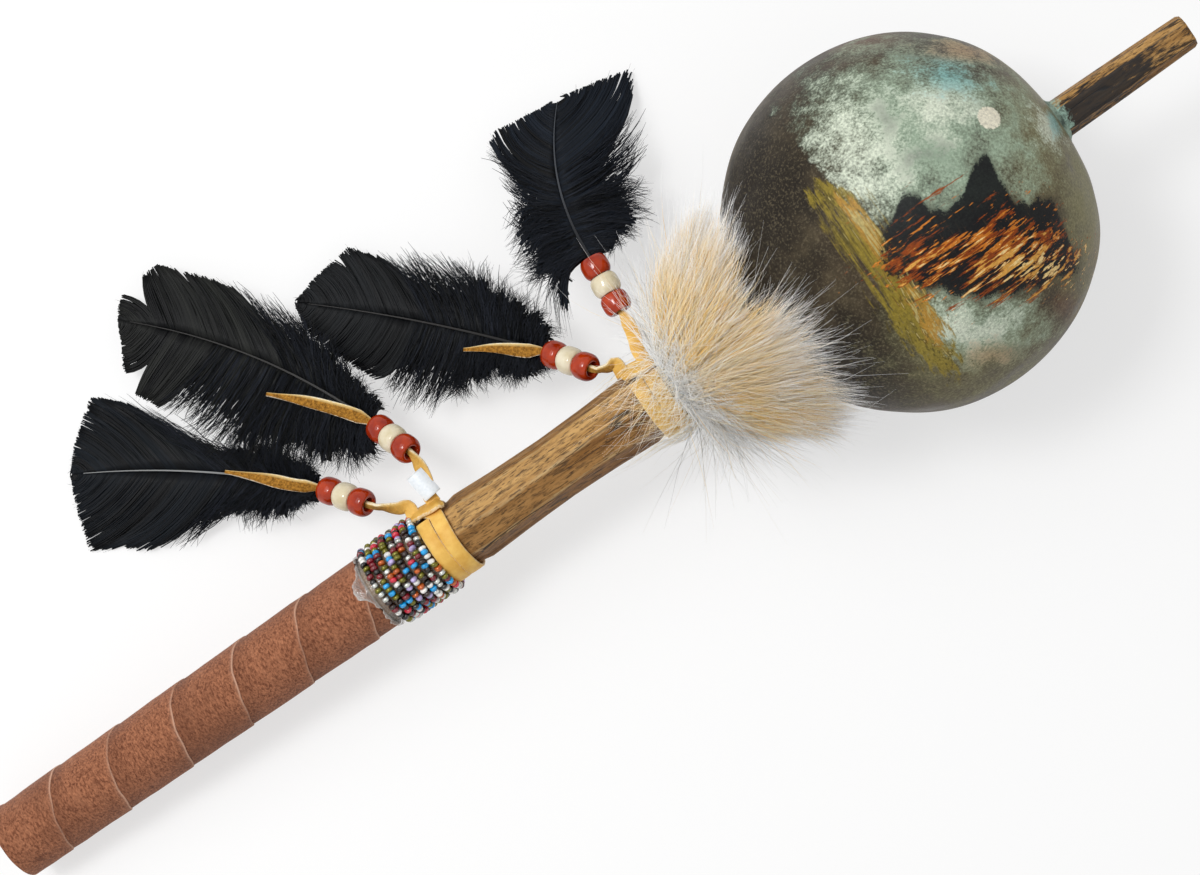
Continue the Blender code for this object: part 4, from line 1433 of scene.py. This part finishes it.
@dataclass
class BeadBand:
    """Seed beads strung on one thread, wound round the handle and set in glue."""

    first: float = 142.1
    pitch: float = 2.6
    turns: float = 7.85
    radius: float = 12.6
    per_turn: int = 50
    across: float = 1.24
    seed: int = 21
    palette: tuple[tuple[str, float, float], ...] = (
        ("#0c0a0a", 0.17, 0.0), ("#2a120c", 0.08, 0.1), ("#7a0a1c", 0.11, 0.0), ("#6f6a10", 0.20, 0.45),
        ("#c4c6c0", 0.13, 0.7), ("#10a0e4", 0.12, 0.0), ("#d0203c", 0.07, 0.0), ("#c05a14", 0.05, 0.2),
        ("#f2f0ea", 0.05, 0.0), ("#b9a8d8", 0.03, 0.0))
    film_grid: Grid = (144, 32)
    film_outline: tuple[Point, ...] = (
        (1.0, 0.0, 11.35), (0.0, 0.0, 11.35), (0.0, 0.0, 12.6), (0.0, 0.5, 12.62), (0.0, 0.85, 12.55),
        (0.0, 1.0, 12.4), (0.0, 0.85, 12.3), (0.0, 0.0, 12.0), (0.0, 0.0, 10.95), (1.0, 0.0, 10.95), (1.0, 0.0, 11.35))

    def build(self) -> None:
        """Model the beads and the glue."""
        rng = np.random.default_rng(self.seed)
        shares = np.array([share for _, share, _ in self.palette])
        bm = bmesh.new()
        tone = bm.verts.layers.float_color.new("tone")
        foil = bm.verts.layers.float.new("foil")
        count = round(self.turns * self.per_turn)
        spacing = TURN * self.radius / self.per_turn
        for k in range(count):
            angle = TURN * (k + rng.uniform(-0.14, 0.14)) / self.per_turn
            sway = 0.16 * math.sin(angle * 3.3) + 0.1 * math.sin(angle * 7.7)
            station = self.first + self.pitch * angle / TURN + sway + rng.normal(0.0, 0.09)
            out = AXIS.outward(angle)
            thread = np.cross(AXIS.along, out)
            place = AXIS.place(station, self.radius + rng.normal(0.0, 0.14), angle)
            size = self.across * rng.uniform(0.84, 1.04)
            length = spacing * 0.5 * rng.uniform(0.86, 1.02)
            frame_ = Matrix((out * size, AXIS.along * size, thread * length)).transposed().to_4x4()
            lean = Matrix.Rotation(rng.normal(0.0, 0.16), 4, Vector(out))
            matrix = Matrix.Translation(Vector(place * MM)) @ lean @ Matrix.Scale(MM, 4) @ frame_
            code, _, lined = self.palette[rng.choice(len(shares), p=shares / shares.sum())]
            made = bmesh.ops.create_uvsphere(bm, u_segments=12, v_segments=7, radius=1.0)
            for vert in made["verts"]:
                ring = math.hypot(vert.co.x, vert.co.y)
                if ring > 0.01:
                    fuller = min(1.0, ring ** 0.45) / ring
                    vert.co.x *= fuller
                    vert.co.y *= fuller
                vert.co = matrix @ vert.co
                vert[tone] = srgb(code)
                vert[foil] = lined
        bmesh.ops.recalc_face_normals(bm, faces=bm.faces)
        mesh = to_mesh(bm, "seed_beads")
        mesh.shade_smooth()
        add_piece("seed_beads", mesh, GlassBead(), "seed_bead_glass", "bead_strand")
        glue = bent_body("glue_film", *self.film_grid, self.film)
        add_piece("glue_film", glue, ClearGlue(), "clear_glue", "glue_bed")

    def film(self, u: Array, v: Array) -> Skin:
        """Shape the glue, under the beads and smeared over the end of the suede.

        Args:
            u: share of the way round.
            v: share of the way round its section.

        Returns:
            Points and marks.
        """
        angle = u * TURN
        smear = 0.9 + 3.6 * np.exp(-((angle - math.radians(166.0)) / 0.36) ** 2) + 0.4 * np.sin(angle * 5.0)
        smear = smear + 0.35 * np.sin(angle * 17.0) + 0.25 * np.sin(angle * 31.0 + 1.0)
        far, back, radius = along_outline(self.film_outline, v)
        station = 140.9 + far * 20.6 - back * smear
        over = np.where(station < 140.0, 0.12 * ripple(AXIS.place(station, radius, angle), 4.0, 9), 0.0)
        rim = smooth(0.55, 0.95, back) + 0.5 * smooth(139.6, 140.6, station) * (far < 0.01)
        return AXIS.place(station, radius + over, angle), {"rim": np.clip(0.6 * rim, 0.0, 1.0)}


@dataclass
class Tie:
    """Lace wound twice round the stick and knotted on the dangles' side."""

    name: str
    station: float
    knot_angle: float
    pitch: float = 4.7
    radius: float = 11.42
    half_width: float = 2.3
    half_depth: float = 0.5
    start: float = math.radians(17.0)
    crossing: float = math.radians(20.0)
    knot_reach: float = 5.3
    steps: int = 190
    knot_steps: int = 33

    def turns(self) -> Mesh:
        """Model the two turns.

        Returns:
            Their mesh.
        """
        sweep = 2.0 * (TURN - self.start)
        angle = self.knot_angle + self.start + np.linspace(0.0, sweep, self.steps)
        share = smooth(-self.crossing, self.crossing, angle - self.knot_angle - TURN)
        wander = 0.1 * np.sin(angle * 2.3) + 0.06 * np.sin(angle * 5.1)
        route = AXIS.place(self.station + self.pitch * (share - 0.5) + wander, self.radius, angle)
        wide = np.broadcast_to(AXIS.along, route.shape)
        half = self.half_width + 0.05 * np.sin(angle * 3.7)
        clean = np.zeros(self.steps)
        return strap(f"{self.name}_tie", route, wide, half, np.full(self.steps, self.half_depth), rough=clean,
                     shade=clean)

    def knot(self) -> Mesh:
        """Model the lace where it crosses both turns and is pulled tight.

        Returns:
            Its mesh.
        """
        t = np.linspace(-1.0, 1.0, self.knot_steps)
        sag = 0.7 * smooth(0.8, 1.0, np.abs(t))
        angle = self.knot_angle + 0.05 * np.sin(t * 3.0)
        route = AXIS.place(self.station + self.knot_reach * t, 12.75 - sag, angle)
        side = np.cross(AXIS.outward(self.knot_angle), AXIS.along)
        half = 3.7 - 0.5 * np.exp(-(t / 0.35) ** 2) + 0.3 * t - 0.9 * smooth(0.82, 1.0, np.abs(t))
        depth = 0.7 + 0.1 * np.exp(-(t / 0.4) ** 2)
        # Painted shade darkens both ends of the knot, where they sink towards the stick.
        return strap(f"{self.name}_knot", route, np.broadcast_to(side, route.shape), half, depth,
                     rough=np.full(self.knot_steps, 0.12), shade=0.15 * np.abs(t) ** 6)

    def build(self) -> None:
        """Model both pieces of the tie."""
        add_piece(f"{self.name}_tie", self.turns(), LaceLeather(), "lace_leather", f"{self.name}_lace")
        add_piece(f"{self.name}_tie_knot", self.knot(), LaceLeather(), "lace_leather", f"{self.name}_knot")


class Barbs(Enum):
    """How the barbs of a stretch of feather grow."""

    VANE = "hooked together into a blade"
    HAIRY = "loose, each on its own"
    DOWN = "long, soft and curling"


@dataclass(frozen=True)
class Blade:
    """A stretch of barbs on one side of the shaft: where they start and the outline they reach."""

    kind: Barbs
    first: float
    last: float
    ends: Outline


@dataclass(frozen=True)
class FeatherPlan:
    """Outline of one feather in its own plane: x along the shaft, y to its left."""

    length: float
    bow: float
    yaw: float
    drop: float
    slope: float
    blades: tuple[Blade, ...]
    gleam: str
    quill: str = "#1d1b1a"


@dataclass(frozen=True)
class Growth:
    """How one layer of barbs grows: its spacing and its barbs' size, how they stray and how they lock together."""

    soft: bool
    spacing: float
    steps: int
    half_width: float
    taper: float
    reach: Range
    stray: float
    curl: float
    lift: float
    lock: int
    shift: float
    gather: float


VANE, HAIRY, DOWN = Barbs.VANE, Barbs.HAIRY, Barbs.DOWN

GROWTHS = {
    VANE: (Growth(False, 0.22, 8, 0.34, 0.45, (0.985, 1.0), 0.08, 0.1, 0.2, 17, 0.3, 0.12),
           Growth(False, 1.5, 8, 0.1, 0.8, (0.97, 1.04), 0.6, 0.4, 0.7, 2, 0.3, 0.1)),
    HAIRY: (Growth(False, 0.24, 8, 0.45, 0.6, (0.5, 0.72), 0.6, 0.5, 0.5, 5, 0.7, 0.3),
            Growth(False, 0.3, 8, 0.17, 0.75, (0.8, 1.08), 1.3, 1.2, 1.4, 2, 0.6, 0.25),
            Growth(True, 0.09, 8, 0.1, 0.8, (0.74, 1.04), 0.6, 0.9, 1.6, 8, 1.3, 0.62)),
    DOWN: (Growth(False, 0.16, 7, 0.7, 0.6, (0.6, 0.88), 0.8, 0.9, 1.0, 6, 1.0, 0.3),
           Growth(False, 0.4, 7, 0.15, 0.75, (0.8, 1.1), 1.4, 1.7, 2.2, 2, 0.8, 0.2),
           Growth(True, 0.04, 7, 0.09, 0.8, (0.7, 1.1), 0.9, 1.6, 2.8, 12, 1.7, 0.5)),
}

FEATHERS = {
    "a": FeatherPlan(55.5, 5.5, 65.0, 35.0, 0.78, (
        Blade(VANE, 20.0, 51.0, ((41.7, 24.4), (45.4, 21.9), (47.5, 15.6), (49.6, 9.3), (52.0, 3.0))),
        Blade(VANE, 24.0, 51.0, ((48.6, -21.7), (56.0, -23.0), (58.0, -22.1), (56.5, -13.2), (53.0, 0.5))),
        Blade(HAIRY, 10.0, 26.0, ((14.9, 21.5), (21.5, 21.0), (25.4, 20.5), (31.8, 22.6), (41.7, 24.8))),
        Blade(HAIRY, 12.0, 28.0, ((20.6, -18.0), (26.9, -18.5), (31.9, -21.6), (41.0, -22.8), (48.6, -22.4))),
        Blade(DOWN, 0.5, 18.0, ((-4.1, 12.4), (-3.6, 19.6), (-0.1, 20.6), (4.8, 21.2), (11.0, 22.2), (14.9, 21.5))),
        Blade(DOWN, 0.5, 18.0, ((1.3, -6.4), (3.4, -12.3), (7.0, -17.0), (11.0, -20.6), (14.6, -22.4), (20.6, -18.0))),
        Blade(DOWN, 0.3, 5.0, ((-4.4, 7.0), (-12.0, 12.5), (-22.0, 11.8), (-11.0, 18.0), (0.9, 21.5))),
    ), "#1a212b", "#4a4d52"),
    "b": FeatherPlan(81.0, -1.8, 133.7, 21.5, 0.44, (
        Blade(VANE, 57.0, 80.5, ((71.6, -15.6), (77.0, -8.1), (81.2, -0.3))),
        Blade(VANE, 38.0, 58.0, ((56.6, -19.0), (63.0, -19.4), (68.3, -20.4), (70.6, -17.2))),
        Blade(HAIRY, 16.0, 39.5, ((31.2, -21.8), (38.5, -22.6), (46.1, -21.2), (50.9, -20.4), (57.0, -19.4))),
        Blade(DOWN, 0.5, 22.0, ((-0.8, -5.3), (4.0, -13.0), (15.6, -18.0), (24.0, -20.4), (31.2, -21.8))),
        Blade(VANE, 40.5, 80.5, ((51.0, 18.2), (66.0, 13.6), (77.0, 7.4), (81.2, 0.0))),
        Blade(HAIRY, 20.0, 42.0, ((26.4, 17.5), (33.6, 24.9), (41.4, 23.8), (48.1, 20.8))),
        Blade(DOWN, 0.5, 26.0, ((-1.4, 5.5), (6.9, 11.4), (15.0, 11.5), (21.5, 17.4), (26.4, 17.5))),
    ), "#222426"),
    "c": FeatherPlan(88.0, -5.3, 123.4, 14.0, 0.25, (
        Blade(VANE, 74.5, 87.5, ((89.3, -8.2), (89.2, -4.0), (87.4, 0.5))),
        Blade(VANE, 55.0, 75.5, ((76.8, -21.2), (83.0, -20.6), (85.7, -15.3))),
        Blade(VANE, 31.0, 56.0, ((57.9, -22.6), (66.0, -22.4), (74.3, -21.5))),
        Blade(HAIRY, 15.0, 33.0, ((37.8, -21.8), (48.0, -22.0), (57.9, -22.8))),
        Blade(DOWN, 0.5, 22.0, ((-0.7, -7.0), (10.9, -12.6), (26.2, -20.5), (37.8, -21.8))),
        Blade(VANE, 70.0, 87.5, ((79.3, 14.9), (83.2, 8.1), (87.4, 0.5))),
        Blade(VANE, 55.0, 71.0, ((65.7, 20.3), (74.2, 19.1))),
        Blade(HAIRY, 34.0, 56.0, ((39.0, 26.8), (46.4, 25.4), (56.6, 21.9), (65.7, 20.3))),
        Blade(DOWN, 0.5, 36.0, ((-3.5, 8.0), (-3.2, 12.5), (3.5, 15.6), (14.0, 19.8), (28.0, 23.4), (39.0, 26.6))),
    ), "#2a2b29"),
    "d": FeatherPlan(80.5, -3.0, 142.4, 13.6, 0.29, (
        Blade(VANE, 34.0, 80.0, ((64.0, -23.0), (75.4, -24.7), (77.6, -17.8), (80.0, -9.0), (80.7, 0.0))),
        Blade(HAIRY, 20.0, 35.0, ((35.4, -9.8), (45.2, -13.4), (55.1, -17.6), (60.0, -21.0), (64.0, -23.0))),
        Blade(DOWN, 0.5, 24.0, ((2.0, -4.0), (8.0, -10.5), (17.0, -14.0), (27.0, -12.6), (35.4, -10.4))),
        Blade(VANE, 38.0, 80.0, ((66.0, 22.3), (73.0, 23.4), (77.2, 13.5), (79.6, 5.3), (80.7, 0.0))),
        Blade(VANE, 28.0, 39.0, ((50.5, 20.8), (55.5, 22.9), (62.7, 21.9))),
        Blade(HAIRY, 18.0, 30.0, ((34.4, 9.3), (38.3, 11.9), (42.4, 20.6), (47.5, 18.0))),
        Blade(DOWN, 0.5, 22.0, ((1.0, 3.0), (6.5, 6.0), (12.0, 10.4), (18.0, 12.6), (28.0, 11.4), (34.4, 9.3))),
    ), "#151a20", "#8b8d8d"),
}


@dataclass
class FeatherMaker:
    """Grows one feather's barbs, down and shaft from its plan."""

    key: str
    plan: FeatherPlan
    base: Array
    seed: int
    camber: float = 1.6
    floor: float = 0.35
    share_run: float = 7.0
    lean: float = 0.22
    half_depth: float = 0.14
    heads: tuple[Range, Range] = ((0.26, 0.42), (0.62, 0.8))

    def lay(self, x: Array, y: Array, lift: Array) -> Array:
        """Bend the feather's plane down to the table.

        Args:
            x: distances along the shaft.
            y: distances to its left.
            lift: heights over the feather's plane.

        Returns:
            Points in millimetres.
        """
        plan = self.plan
        reach = np.clip(x, -2.0, plan.length * 1.03)
        sink = plan.slope * reach + (plan.drop / plan.length - plan.slope) * reach * np.abs(reach) / plan.length
        turn = math.radians(plan.yaw)
        spread = self.camber * (y / 20.0) ** 2
        z = np.maximum(self.base[2] - sink + lift - spread, self.floor + 0.4 * np.maximum(lift, 0.0))
        return np.stack([self.base[0] + math.cos(turn) * x - math.sin(turn) * y,
                         self.base[1] + math.sin(turn) * x + math.cos(turn) * y, z], axis=-1)

    def shaft(self, x: Array) -> Array:
        """How far the shaft bows to the left at distances along it."""
        share = np.clip(x / self.plan.length, 0.0, 1.0)
        return self.plan.bow * 4.0 * share * (1.0 - share)

    def run(self, blade: Blade, share: Array) -> Array:
        """Outline points at shares of a blade's run.

        Args:
            blade: the stretch of barbs.
            share: from 0 at its first barb to 1 at its last.

        Returns:
            The points' x and y.
        """
        ends = np.array(blade.ends)
        run = travelled(ends)
        return np.stack([np.interp(share * run[-1], run, ends[:, k]) for k in range(2)], axis=-1)

    def flow(self, left: bool, root_x: Array) -> Array:
        """Where barbs head for near the shaft, evened out between neighbours so that splits stay outside.

        Args:
            left: which side of the shaft.
            root_x: where the barbs start.

        Returns:
            The points that they head for.
        """
        share = np.linspace(0.0, 1.0, 40)
        side = [blade for blade in self.plan.blades if (blade.ends[0][1] > 0.0) == left]
        roots = np.concatenate([blade.first + (blade.last - blade.first) * share for blade in side])
        ends = np.concatenate([self.run(blade, share) for blade in side])
        weight = np.exp(-((root_x[:, None] - roots) / self.share_run) ** 2)
        return weight @ ends / weight.sum(axis=1, keepdims=True)

    def grow(self, strands: Strands, blade: Blade, rng: np.random.Generator, growth: Growth) -> None:
        """Grow one set of barbs.

        Args:
            strands: takes the barbs.
            blade: where they grow.
            rng: the feather's own random numbers.
            growth: how they grow.
        """
        count = round((blade.last - blade.first) / growth.spacing)
        share = (np.arange(count) + rng.uniform(0.2, 0.8, count)) / count
        root_x = blade.first + (blade.last - blade.first) * share
        root = np.stack([root_x, self.shaft(root_x)], axis=-1)
        near = self.flow(blade.ends[0][1] > 0.0, root_x)
        lock = (np.arange(count) + rng.integers(0, growth.lock)) // growth.lock
        locks = lock[-1] + 1
        together = self.run(blade, np.clip((lock + 0.5) * growth.lock / count, 0.0, 1.0))
        together = together + rng.normal(0.0, growth.shift, (locks, 2))[lock]
        end = self.run(blade, share)
        end = end + (together - end) * growth.gather + rng.normal(0.0, growth.stray, (count, 2))
        full = (rng.uniform(*growth.reach, locks)[lock] * rng.uniform(0.97, 1.03, count))[:, None]
        end = root + (end - root) * full
        t = np.linspace(0.0, 1.0, growth.steps)[None, :, None]
        heading = (near - root) * full
        first, second = (root + heading * np.array(head) for head in self.heads)
        flat = ((1 - t) ** 3 * root[:, None] + 3 * t * (1 - t) ** 2 * first[:, None]
                + 3 * t ** 2 * (1 - t) * second[:, None] + t ** 3 * end[:, None])
        t = t[..., 0]
        wave = waves(rng, count, t, (3.0, 9.0)) * growth.curl
        along = unit(end - root)
        x, y = flat[..., 0] - along[:, 1:] * wave, flat[..., 1] + along[:, :1] * wave
        height = growth.lift * rng.uniform(-0.5, 1.0, count)[:, None] * np.sin(t * 2.4)
        height = height + 0.5 * growth.curl * np.cos(wave + t * 4.0) * t
        width = growth.half_width * rng.uniform(0.85, 1.15, count)[:, None] * (1.0 - growth.taper * t ** 3)
        lean = rng.normal(0.0, self.lean, count)
        up = np.stack([along[:, 1] * lean, -along[:, 0] * lean, np.ones(count)], axis=-1)[:, None, :]
        tint = rng.normal(0.35, 0.2, count) + rng.normal(0.0, 0.22, locks)[lock]
        strands.add(self.lay(x, y, height), width, np.minimum(width, self.half_depth), up,
                    tint=np.clip(tint[:, None] + 0.2 * t, 0.0, 1.0))

    def quill(self) -> Mesh:
        """Model the shaft, thick and horn-like at the bead and hair-thin at the tip.

        Returns:
            Its mesh.
        """
        x = np.concatenate([np.linspace(-1.0, 3.0, 6), np.linspace(4.5, self.plan.length - 4.0, 46)])
        route = self.lay(x, self.shaft(x), np.full(len(x), 0.3))
        share = np.clip(x / self.plan.length, 0.0, 1.0)
        half = 0.5 - 0.4 * share ** 0.8
        yaw = math.radians(self.plan.yaw)
        wide = np.broadcast_to(np.array((-math.sin(yaw), math.cos(yaw), 0.0)), route.shape)
        return strap(f"quill_{self.key}", route, wide, half, half * 0.8, tint=0.3 + 0.6 * smooth(0.1, 0.5, share))

    def build(self, body: str) -> list[Piece]:
        """Model the feather's pieces.

        Args:
            body: the dangle that it hangs on.

        Returns:
            The vane, the down and the quill.
        """
        rng = np.random.default_rng(self.seed)
        vane, down = Strands(), Strands()
        for blade in self.plan.blades:
            for growth in GROWTHS[blade.kind]:
                self.grow(down if growth.soft else vane, blade, rng, growth)
        key, plan = self.key, self.plan
        rows = (
            ("vane", vane.mesh(f"feather_vane_{key}"), BlackFeather(f"black_feather_vane_{key}", plan.gleam),
             [f"feather_{key}"]),
            ("down", down.mesh(f"feather_down_{key}"),
             BlackFeather("black_feather_down", "#2b2f38", "#030405", (0.45, 0.7)), []),
            ("quill", self.quill(),
             BlackFeather(f"black_feather_quill_{key}", plan.quill, "#0d0c0c", (0.25, 0.4)), []),
        )
        return [add_piece(f"feather_{part}_{key}", mesh, finish, "black_feather", *nodes, body=body)
                for part, mesh, finish, nodes in rows]


@dataclass
class Dangle:
    """A lace with three pony beads and a feather, hung from a knot."""

    key: str
    knot: Point
    strap_angle: float
    twist: tuple[float, float, float, float]
    lead: tuple[Point, ...]
    entry: Point
    yaw: float
    pitch: float
    tail: tuple[Point, ...]
    seed: int
    lace_width: float = 4.3
    lace_depth: float = 1.0
    bead_pitch: float = 6.3
    bead_radius: float = 4.4
    bead_length: float = 6.1
    bead_bore: float = 2.2
    fold: float = 0.5

    @property
    def body(self) -> str:
        """The body that the dangle's pieces ride on."""
        return f"dangle_{self.key}"

    @property
    def along(self) -> Array:
        """Direction of the beads' line."""
        return direction(self.yaw, self.pitch)

    @property
    def above(self) -> Array:
        """Direction square to the beads' line, upwards."""
        return direction(self.yaw, self.pitch + 90.0)

    def bead(self, number: int) -> Mesh:
        """Spin one barrel bead.

        Args:
            number: its place on the lace, from 0.

        Returns:
            Its mesh.
        """
        bm = bmesh.new()
        half, bore = self.bead_length / 2.0, self.bead_bore
        barrel = [(self.bead_radius - 0.95 * abs(math.sin(k)) ** 3.2, half * math.sin(k) * 0.985)
                  for k in np.linspace(-math.pi / 2.0, math.pi / 2.0, 17)]
        lip = [(self.bead_radius - 1.3, half), (bore + 0.35, half * 0.985), (bore + 0.08, half * 0.93),
               (bore, half * 0.8)]
        profile = [*[(radius, -height) for radius, height in lip[::-1]], *barrel, *lip]
        verts = [bm.verts.new((radius * MM, 0.0, height * MM)) for radius, height in profile]
        edges = [bm.edges.new(pair) for pair in zip(verts, verts[1:] + verts[:1])]
        bmesh.ops.spin(bm, geom=verts + edges, axis=(0.0, 0.0, 1.0), cent=(0.0, 0.0, 0.0), angle=TURN,
                       steps=44, use_merge=True)
        middle = np.array(self.entry) + self.along * (self.bead_pitch * (number + 0.5))
        turn = Vector(self.along).to_track_quat("Z", "Y").to_matrix().to_4x4()
        bmesh.ops.transform(bm, matrix=Matrix.Translation(Vector(middle * MM)) @ turn, verts=bm.verts)
        return close_body(bm, f"pony_{self.key}{number + 1}")

    def lace(self) -> tuple[Mesh, Array]:
        """Model the lace: from under the knot, folded through the beads and cut to a point.

        Returns:
            Its mesh, and the points that it follows.
        """
        knot, entry, along, above = np.array(self.knot), np.array(self.entry), self.along, self.above
        stack = 3.0 * self.bead_pitch
        tucked = AXIS.place((knot - AXIS.butt) @ AXIS.along, 12.5, math.radians(self.strap_angle))
        inside = [entry + above * 0.8 + along * (stack * share) for share in (0.0, 0.5, 1.0)]
        route = smooth_route([tucked, knot, *self.lead, *inside, *self.tail], 0.8)
        ahead = (route - entry) @ along
        outside = np.maximum(np.maximum(-ahead, ahead - stack), 0.0)
        width = np.minimum(1.0, self.fold + (1.0 - self.fold) * np.maximum(0.0, outside - 1.0) / 3.4)
        run = travelled(route)
        tail = (ahead > stack).astype(float)
        if self.tail:
            width = width * (0.27 + 0.73 * smooth(0.0, 20.0, run[-1] - run) ** 0.8)
        tangent = unit(np.gradient(route, axis=0))
        up = unit(np.array((0.0, 0.0, 1.0)) - tangent * tangent[:, 2:])
        level = np.cross(tangent, up)
        laid = 1.0 + ahead / np.linalg.norm(entry - knot)
        tilt = np.radians(np.interp(laid, (0.0, 0.35, 0.7, 1.0), self.twist))
        tilt = tilt + (math.pi / 2.0 - tilt) * smooth(0.0, 4.0, ahead) + tail * 0.45 * np.sin(
            (run - run[-1]) / 6.0 + self.seed)
        wide = up * np.cos(tilt)[:, None] + level * np.sin(tilt)[:, None]
        depth = self.lace_depth / 2.0 * (1.0 + 0.5 * np.clip(1.0 - width, 0.0, 0.5)) * np.where(tail > 0, 0.75, 1.0)
        standing = np.clip(np.cos(tilt), 0.0, 1.0) * (1.0 - tail)
        rough = np.clip(tail + standing * 0.9, 0.0, 1.0)
        # Painted shade on the lace where it runs inside the beads.
        hidden = np.where((ahead > -0.5) & (ahead < stack + 0.5), 0.6, 0.0)
        mesh = strap(f"dangle_lace_{self.key}", route, wide, self.lace_width / 2.0 * width, depth, rough=rough,
                     shade=hidden)
        return mesh, route

    def build(self) -> None:
        """Model the dangle: its beads, its feather, its lace and, on lace c, the label."""
        red = PonyPlastic("pony_bead_red", "#b3380c", "#8f2306")
        cream = PonyPlastic("pony_bead_cream", "#e6dcc2", "#d2c4a0")
        on_lace = []
        for number, (finish, slot) in enumerate(((red, "pony_red"), (cream, "pony_cream"), (red, "pony_red"))):
            on_lace.append(add_piece(f"pony_{self.key}{number + 1}", self.bead(number), finish, slot,
                                     f"bead_{self.key}{number + 1}", body=self.body))
        base = np.array(self.entry) + self.along * (3.0 * self.bead_pitch + 0.7) - self.above * 0.9
        on_lace += FeatherMaker(self.key, FEATHERS[self.key], base, self.seed).build(self.body)
        if self.key == "c":
            on_lace.append(Tag().build(self.body))
        mesh, route = self.lace()
        lace = add_piece(f"dangle_lace_{self.key}", mesh, LaceLeather(), "lace_leather", f"lace_{self.key}",
                         body=self.body)
        tuple(np.array(self.knot) * MM)


@dataclass
class Tag:
    """Small blank label of stiff paper, folded over the lace."""

    centre: Point = (-44.9, 18.7, 39.75)
    length: float = 8.8
    width: float = 5.6
    depth: float = 0.4
    sag: float = 5.2
    yaw: float = math.radians(97.0)
    steps: int = 25

    def build(self, body: str) -> Piece:
        """Model the label.

        Args:
            body: the dangle that it hangs on.

        Returns:
            The piece.
        """
        long_way = np.array((math.cos(self.yaw), math.sin(self.yaw), -0.03))
        short_way = np.array((math.sin(self.yaw), -math.cos(self.yaw), 0.0))
        t = np.linspace(-0.5, 0.5, self.steps)
        route = np.array(self.centre) + np.outer(t * self.width, short_way)
        route[:, 2] -= self.sag * t * t
        mesh = strap("blank_label", route, np.broadcast_to(long_way, route.shape),
                     np.full(self.steps, self.length / 2.0), np.full(self.steps, self.depth / 2.0))
        return add_piece("blank_label", mesh, TagPaper(), "tag_paper", "blank_tag", body=body)


DANGLES = (
    Dangle("a", (31.0, 14.9, 49.6), 116.0, (90.0, 90.0, 88.0, 80.0), ((32.2, 18.4, 49.0), (33.2, 22.6, 46.6)),
           (33.6, 27.4, 43.0), 85.0, -8.0, (), 31),
    Dangle("b", (23.4, 15.5, 46.4), 116.0, (70.0, 35.0, 15.0, 50.0), ((21.2, 15.6, 45.0), (19.0, 16.4, 42.8)),
           (16.8, 18.1, 39.8), 123.6, -38.0, ((3.0, 35.0, 27.4), (-4.6, 41.4, 22.6), (-12.2, 46.1, 19.2)), 32),
    Dangle("c", (-45.4, 15.5, 37.4), 104.0, (90.0, 85.0, 60.0, 40.0), ((-43.8, 18.6, 38.2), (-42.8, 23.6, 37.0)),
           (-42.7, 28.6, 34.4), 109.7, -38.0, ((-52.6, 50.6, 22.2), (-61.6, 61.2, 19.4), (-70.2, 69.6, 17.6)), 33),
    Dangle("d", (-52.8, 15.8, 35.2), 104.0, (80.0, 50.0, 15.0, 45.0), ((-55.8, 17.2, 33.8), (-59.3, 19.8, 30.6)),
           (-62.9, 23.2, 26.4), 127.4, -32.0, ((-79.4, 42.0, 16.2), (-87.4, 50.2, 13.2), (-95.1, 57.6, 11.0)), 34),
)


@dataclass
class Stage:
    """White card, a large soft lamp, a smaller one for crisp glints, an even white sky and a camera straight above."""

    camera_place: Point = (0.0069, 0.0, 0.9)
    camera_turn: float = math.radians(-34.7)
    focal_length: float = 85.71
    sensor: float = 36.0
    floor_size: float = 6.0
    floor_height: float = -0.0004
    lamps: tuple[tuple[str, float, float, Point], ...] = (
        ("soft_lamp", 1.3, 10.0, (-0.55, 0.95, 1.45)), ("window_lamp", 0.36, 8.0, (-0.35, 0.5, 1.3)))
    sky: float = 0.45

    def build(self) -> None:
        """Set up the floor, the light and the camera."""
        scene = bpy.context.scene
        bm = bmesh.new()
        bmesh.ops.create_grid(bm, x_segments=1, y_segments=1, size=self.floor_size / 2.0)
        bmesh.ops.translate(bm, vec=(0.0, 0.0, self.floor_height), verts=bm.verts)
        mesh = to_mesh(bm, "card")
        mesh.materials.append(StudioFloor().material())
        card = put("card", mesh)

        for name, size, power, place in self.lamps:
            lamp = bpy.data.lights.new(name, "AREA")
            lamp.size, lamp.energy = size, power
            item = put(name, lamp)
            item.location = place
            item.rotation_euler = (-Vector(place)).to_track_quat("-Z", "Y").to_euler()

        world = bpy.data.worlds.new("white_sky")
        world.use_nodes = True
        tree = world.node_tree
        tree.nodes.clear()
        level = add_node(tree, "MapRange", {"Value": seen_directly(tree), "To Min": self.sky, "To Max": 1.0})
        sky = add_node(tree, "Background", {"Color": WHITE, "Strength": level.outputs[0]})
        add_node(tree, "OutputWorld", {"Surface": sky.outputs[0]})
        scene.world = world

        lens = bpy.data.cameras.new("camera")
        lens.lens, lens.sensor_width = self.focal_length, self.sensor
        camera = put("camera", lens)
        camera.location = self.camera_place
        camera.rotation_euler = (0.0, 0.0, self.camera_turn)
        scene.camera = camera
        scene.view_settings.view_transform = "Standard"


def main() -> None:
    """Build the stage and dress the rattle piece by piece."""
    logging.basicConfig(level=logging.INFO, format="%(name)s: %(message)s")
    Stage().build()
    for dangle in DANGLES:
        dangle.build()
    for part in (Stick(), Gourd(), FurCollar(), Grip(), BeadBand(),
                 Tie("grip", 167.3, math.radians(110.0)), Tie("fur", 244.8, math.radians(122.0))):
        part.build()


if __name__ == "__main__":
    main()
